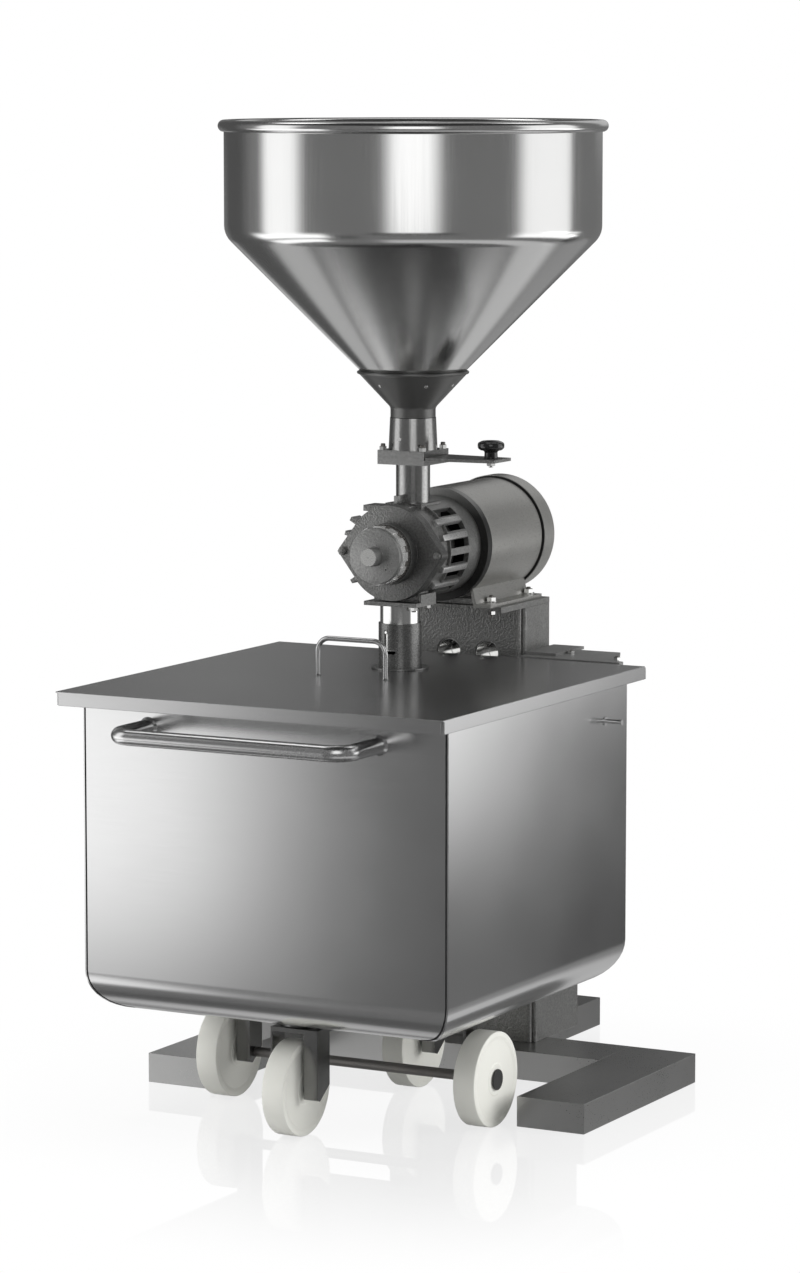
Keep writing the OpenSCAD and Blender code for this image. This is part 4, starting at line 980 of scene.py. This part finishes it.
def panel_light(shader):
    """The panels' light at a point of the studio's wall."""
    point = shader.add("NewGeometry").outputs["Position"]
    ahead = shader.vector("DOT_PRODUCT", point, way(0)).outputs["Value"]
    right = shader.vector("DOT_PRODUCT", point, way(90)).outputs["Value"]
    turn = shader.math("DEGREES", shader.math("ARCTAN2", right, ahead))
    turn = shader.math("ADD", turn, shader.math("MULTIPLY", shader.math("LESS_THAN", turn, SPLIT), 360))
    height = shader.add("SeparateXYZ", {0: point}).outputs["Z"]
    total = WALL_GREY
    for (left, left_soft), (end, end_soft), (low, low_soft), (high, high_soft), power in PANELS:
        part = shader.spread(turn, left - left_soft, left + left_soft, smooth=True)
        for value, start, stop in (
            (turn, end + end_soft, end - end_soft),
            (height, low - low_soft, low + low_soft),
            (height, high + high_soft, high - high_soft),
        ):
            part = shader.math("MULTIPLY", part, shader.spread(value, start, stop, smooth=True))
        total = shader.math("ADD", total, shader.math("MULTIPLY", part, power))
    return shader.math("MAXIMUM", total, 0.0)


def panel_wall():
    """Soft light panels with grey between them. The floor's perfect mirror sees plain white instead."""
    shader = material("studio_panels")
    total = panel_light(shader)
    mirror = shader.add("LightPath").outputs["Is Singular Ray"]
    return shader.glow(shader.add("Mix", {0: mirror, 2: total, 3: 1.0}, data_type="FLOAT"))


def round_lights(name, lights, level, grey):
    """Round soft lights on the studio's ceiling or ground."""
    shader = material(name)
    point = shader.add("NewGeometry").outputs["Position"]
    total = grey
    for degrees, out, radius, power in lights:
        x, y, _ = way(degrees)
        away = shader.vector("DISTANCE", point, (x * out, y * out, level)).outputs["Value"]
        light = shader.spread(away, radius, radius * FULL_SHARE, 0.0, power, smooth=True)
        total = shader.math("ADD", light, total)
    return shader.glow(total)


def studio():
    """A wall, a ceiling and a ground of light round the object, which only reflections see."""
    wall = panel_wall()
    above = round_lights("studio_above", ABOVE, WALL_TOP, ABOVE_GREY)
    below = round_lights("studio_below", BELOW, WALL_FOOT, BELOW_GREY)
    for name, profile, look in (
        ("studio_wall", [(WALL_R, WALL_FOOT), (WALL_R, WALL_TOP)], wall),
        ("studio_above", [(WALL_R, WALL_TOP), (0, WALL_TOP)], above),
        ("studio_below", [(0, WALL_FOOT), (WALL_R, WALL_FOOT)], below),
    ):
        shape = bmesh.new()
        turned(shape, profile, Vector((0, 0, 0)), Z, 64, closed=False)
        made = stage(name, shape, look)
        made.visible_camera = False
        made.visible_diffuse = False
        made.visible_shadow = False
        made.visible_transmission = False


studio()

# The rectangle on the ground under the object, how far past it the floor's shadow and mirror reach, and
# how strong they are near it.
GROUND_MIDDLE = (0, -0.1, 0)
GROUND_HALF = (0.26, 0.38, 0)
GROUND_REACH = 0.7
SHADOW_SHARE = 0.1
MIRROR_SHARE = 0.16
FLOOR_SIZE = 60
FLOOR_COLOR = (0.93, 0.93, 0.93)
BOUNCE_COLOR = (0.85, 0.85, 0.85)


def floor():
    """A pale floor that keeps the object's shadow and a faint mirror image near it."""
    shader = material("pale_floor")
    path = shader.add("LightPath")
    point = shader.add("NewGeometry").outputs["Position"]
    from_middle = shader.vector("ABSOLUTE", shader.vector("SUBTRACT", point, GROUND_MIDDLE))
    outside = shader.vector("MAXIMUM", shader.vector("SUBTRACT", from_middle, GROUND_HALF), (0, 0, 0))
    reach = shader.vector("LENGTH", outside).outputs["Value"]
    near = shader.spread(reach, 0.0, GROUND_REACH, 1.0, 0.0, smooth=True)
    white = shader.add("Emission", {"Color": WHITE, "Strength": 1.0})
    matt = shader.add("BsdfDiffuse", {"Color": FLOOR_COLOR})
    mirror = shader.add("BsdfGlossy", {"Color": WHITE, "Roughness": 0.0})
    ground = shader.add("MixShader", {0: shader.math("MULTIPLY", near, SHADOW_SHARE), 1: white, 2: matt})
    ground = shader.add("MixShader", {0: shader.math("MULTIPLY", near, MIRROR_SHARE), 1: ground, 2: mirror})
    # The object's own metal sees the studio through the floor. Other light bounces from it.
    bounce = shader.add("BsdfDiffuse", {"Color": BOUNCE_COLOR})
    clear = shader.add("BsdfTransparent")
    seen = shader.add("MixShader", {0: path.outputs["Is Glossy Ray"], 1: bounce, 2: clear})
    both = shader.add("MixShader", {0: path.outputs["Is Camera Ray"], 1: seen, 2: ground})
    shape = bmesh.new()
    bmesh.ops.create_grid(shape, x_segments=1, y_segments=1, size=FLOOR_SIZE)
    stage("floor", shape, shader.finish_unsampled(both))


floor()

WORLD_LIGHT = 0.35


def world():
    """White where it is seen, and a plain weaker light on everything."""
    shader = Shader(bpy.data.worlds.new("studio"))
    path = shader.add("LightPath").outputs
    seen = shader.math("MAXIMUM", path["Is Camera Ray"], path["Is Glossy Ray"])
    seen = shader.math("MAXIMUM", seen, path["Is Transmission Ray"])
    strength = shader.spread(seen, 0.0, 1.0, WORLD_LIGHT, 1.0)
    light = shader.add("Background", {"Color": WHITE, "Strength": strength})
    bpy.context.scene.world = shader.finish(light)


world()


def lamp(name, place, aim, width, height, power):
    """A soft rectangle of light that reflections don't show."""
    data = bpy.data.lights.new(name, "AREA")
    data.shape = "RECTANGLE"
    data.size = width
    data.size_y = height
    data.energy = power
    made = bpy.data.objects.new(name, data)
    made.location = place
    made.rotation_euler = (Vector(aim) - Vector(place)).to_track_quat("-Z", "Y").to_euler()
    made.visible_glossy = False
    bpy.context.scene.collection.objects.link(made)


def around(degrees, distance, height):
    x, y, _ = way(degrees)
    return x * distance, y * distance, height


lamp("left_lamp", around(-75, 3.2, 2.2), aim=(0, 0, 0.8), width=1.6, height=2.4, power=55)
lamp("right_lamp", around(80, 3.2, 1.2), aim=(0, 0, 0.5), width=1.6, height=2.4, power=68)
lamp("top_lamp", (0, -0.4, 4.2), aim=(0, 0, 0.5), width=2.4, height=2.4, power=90)

scene = bpy.context.scene
scene.view_settings.view_transform = "Standard"
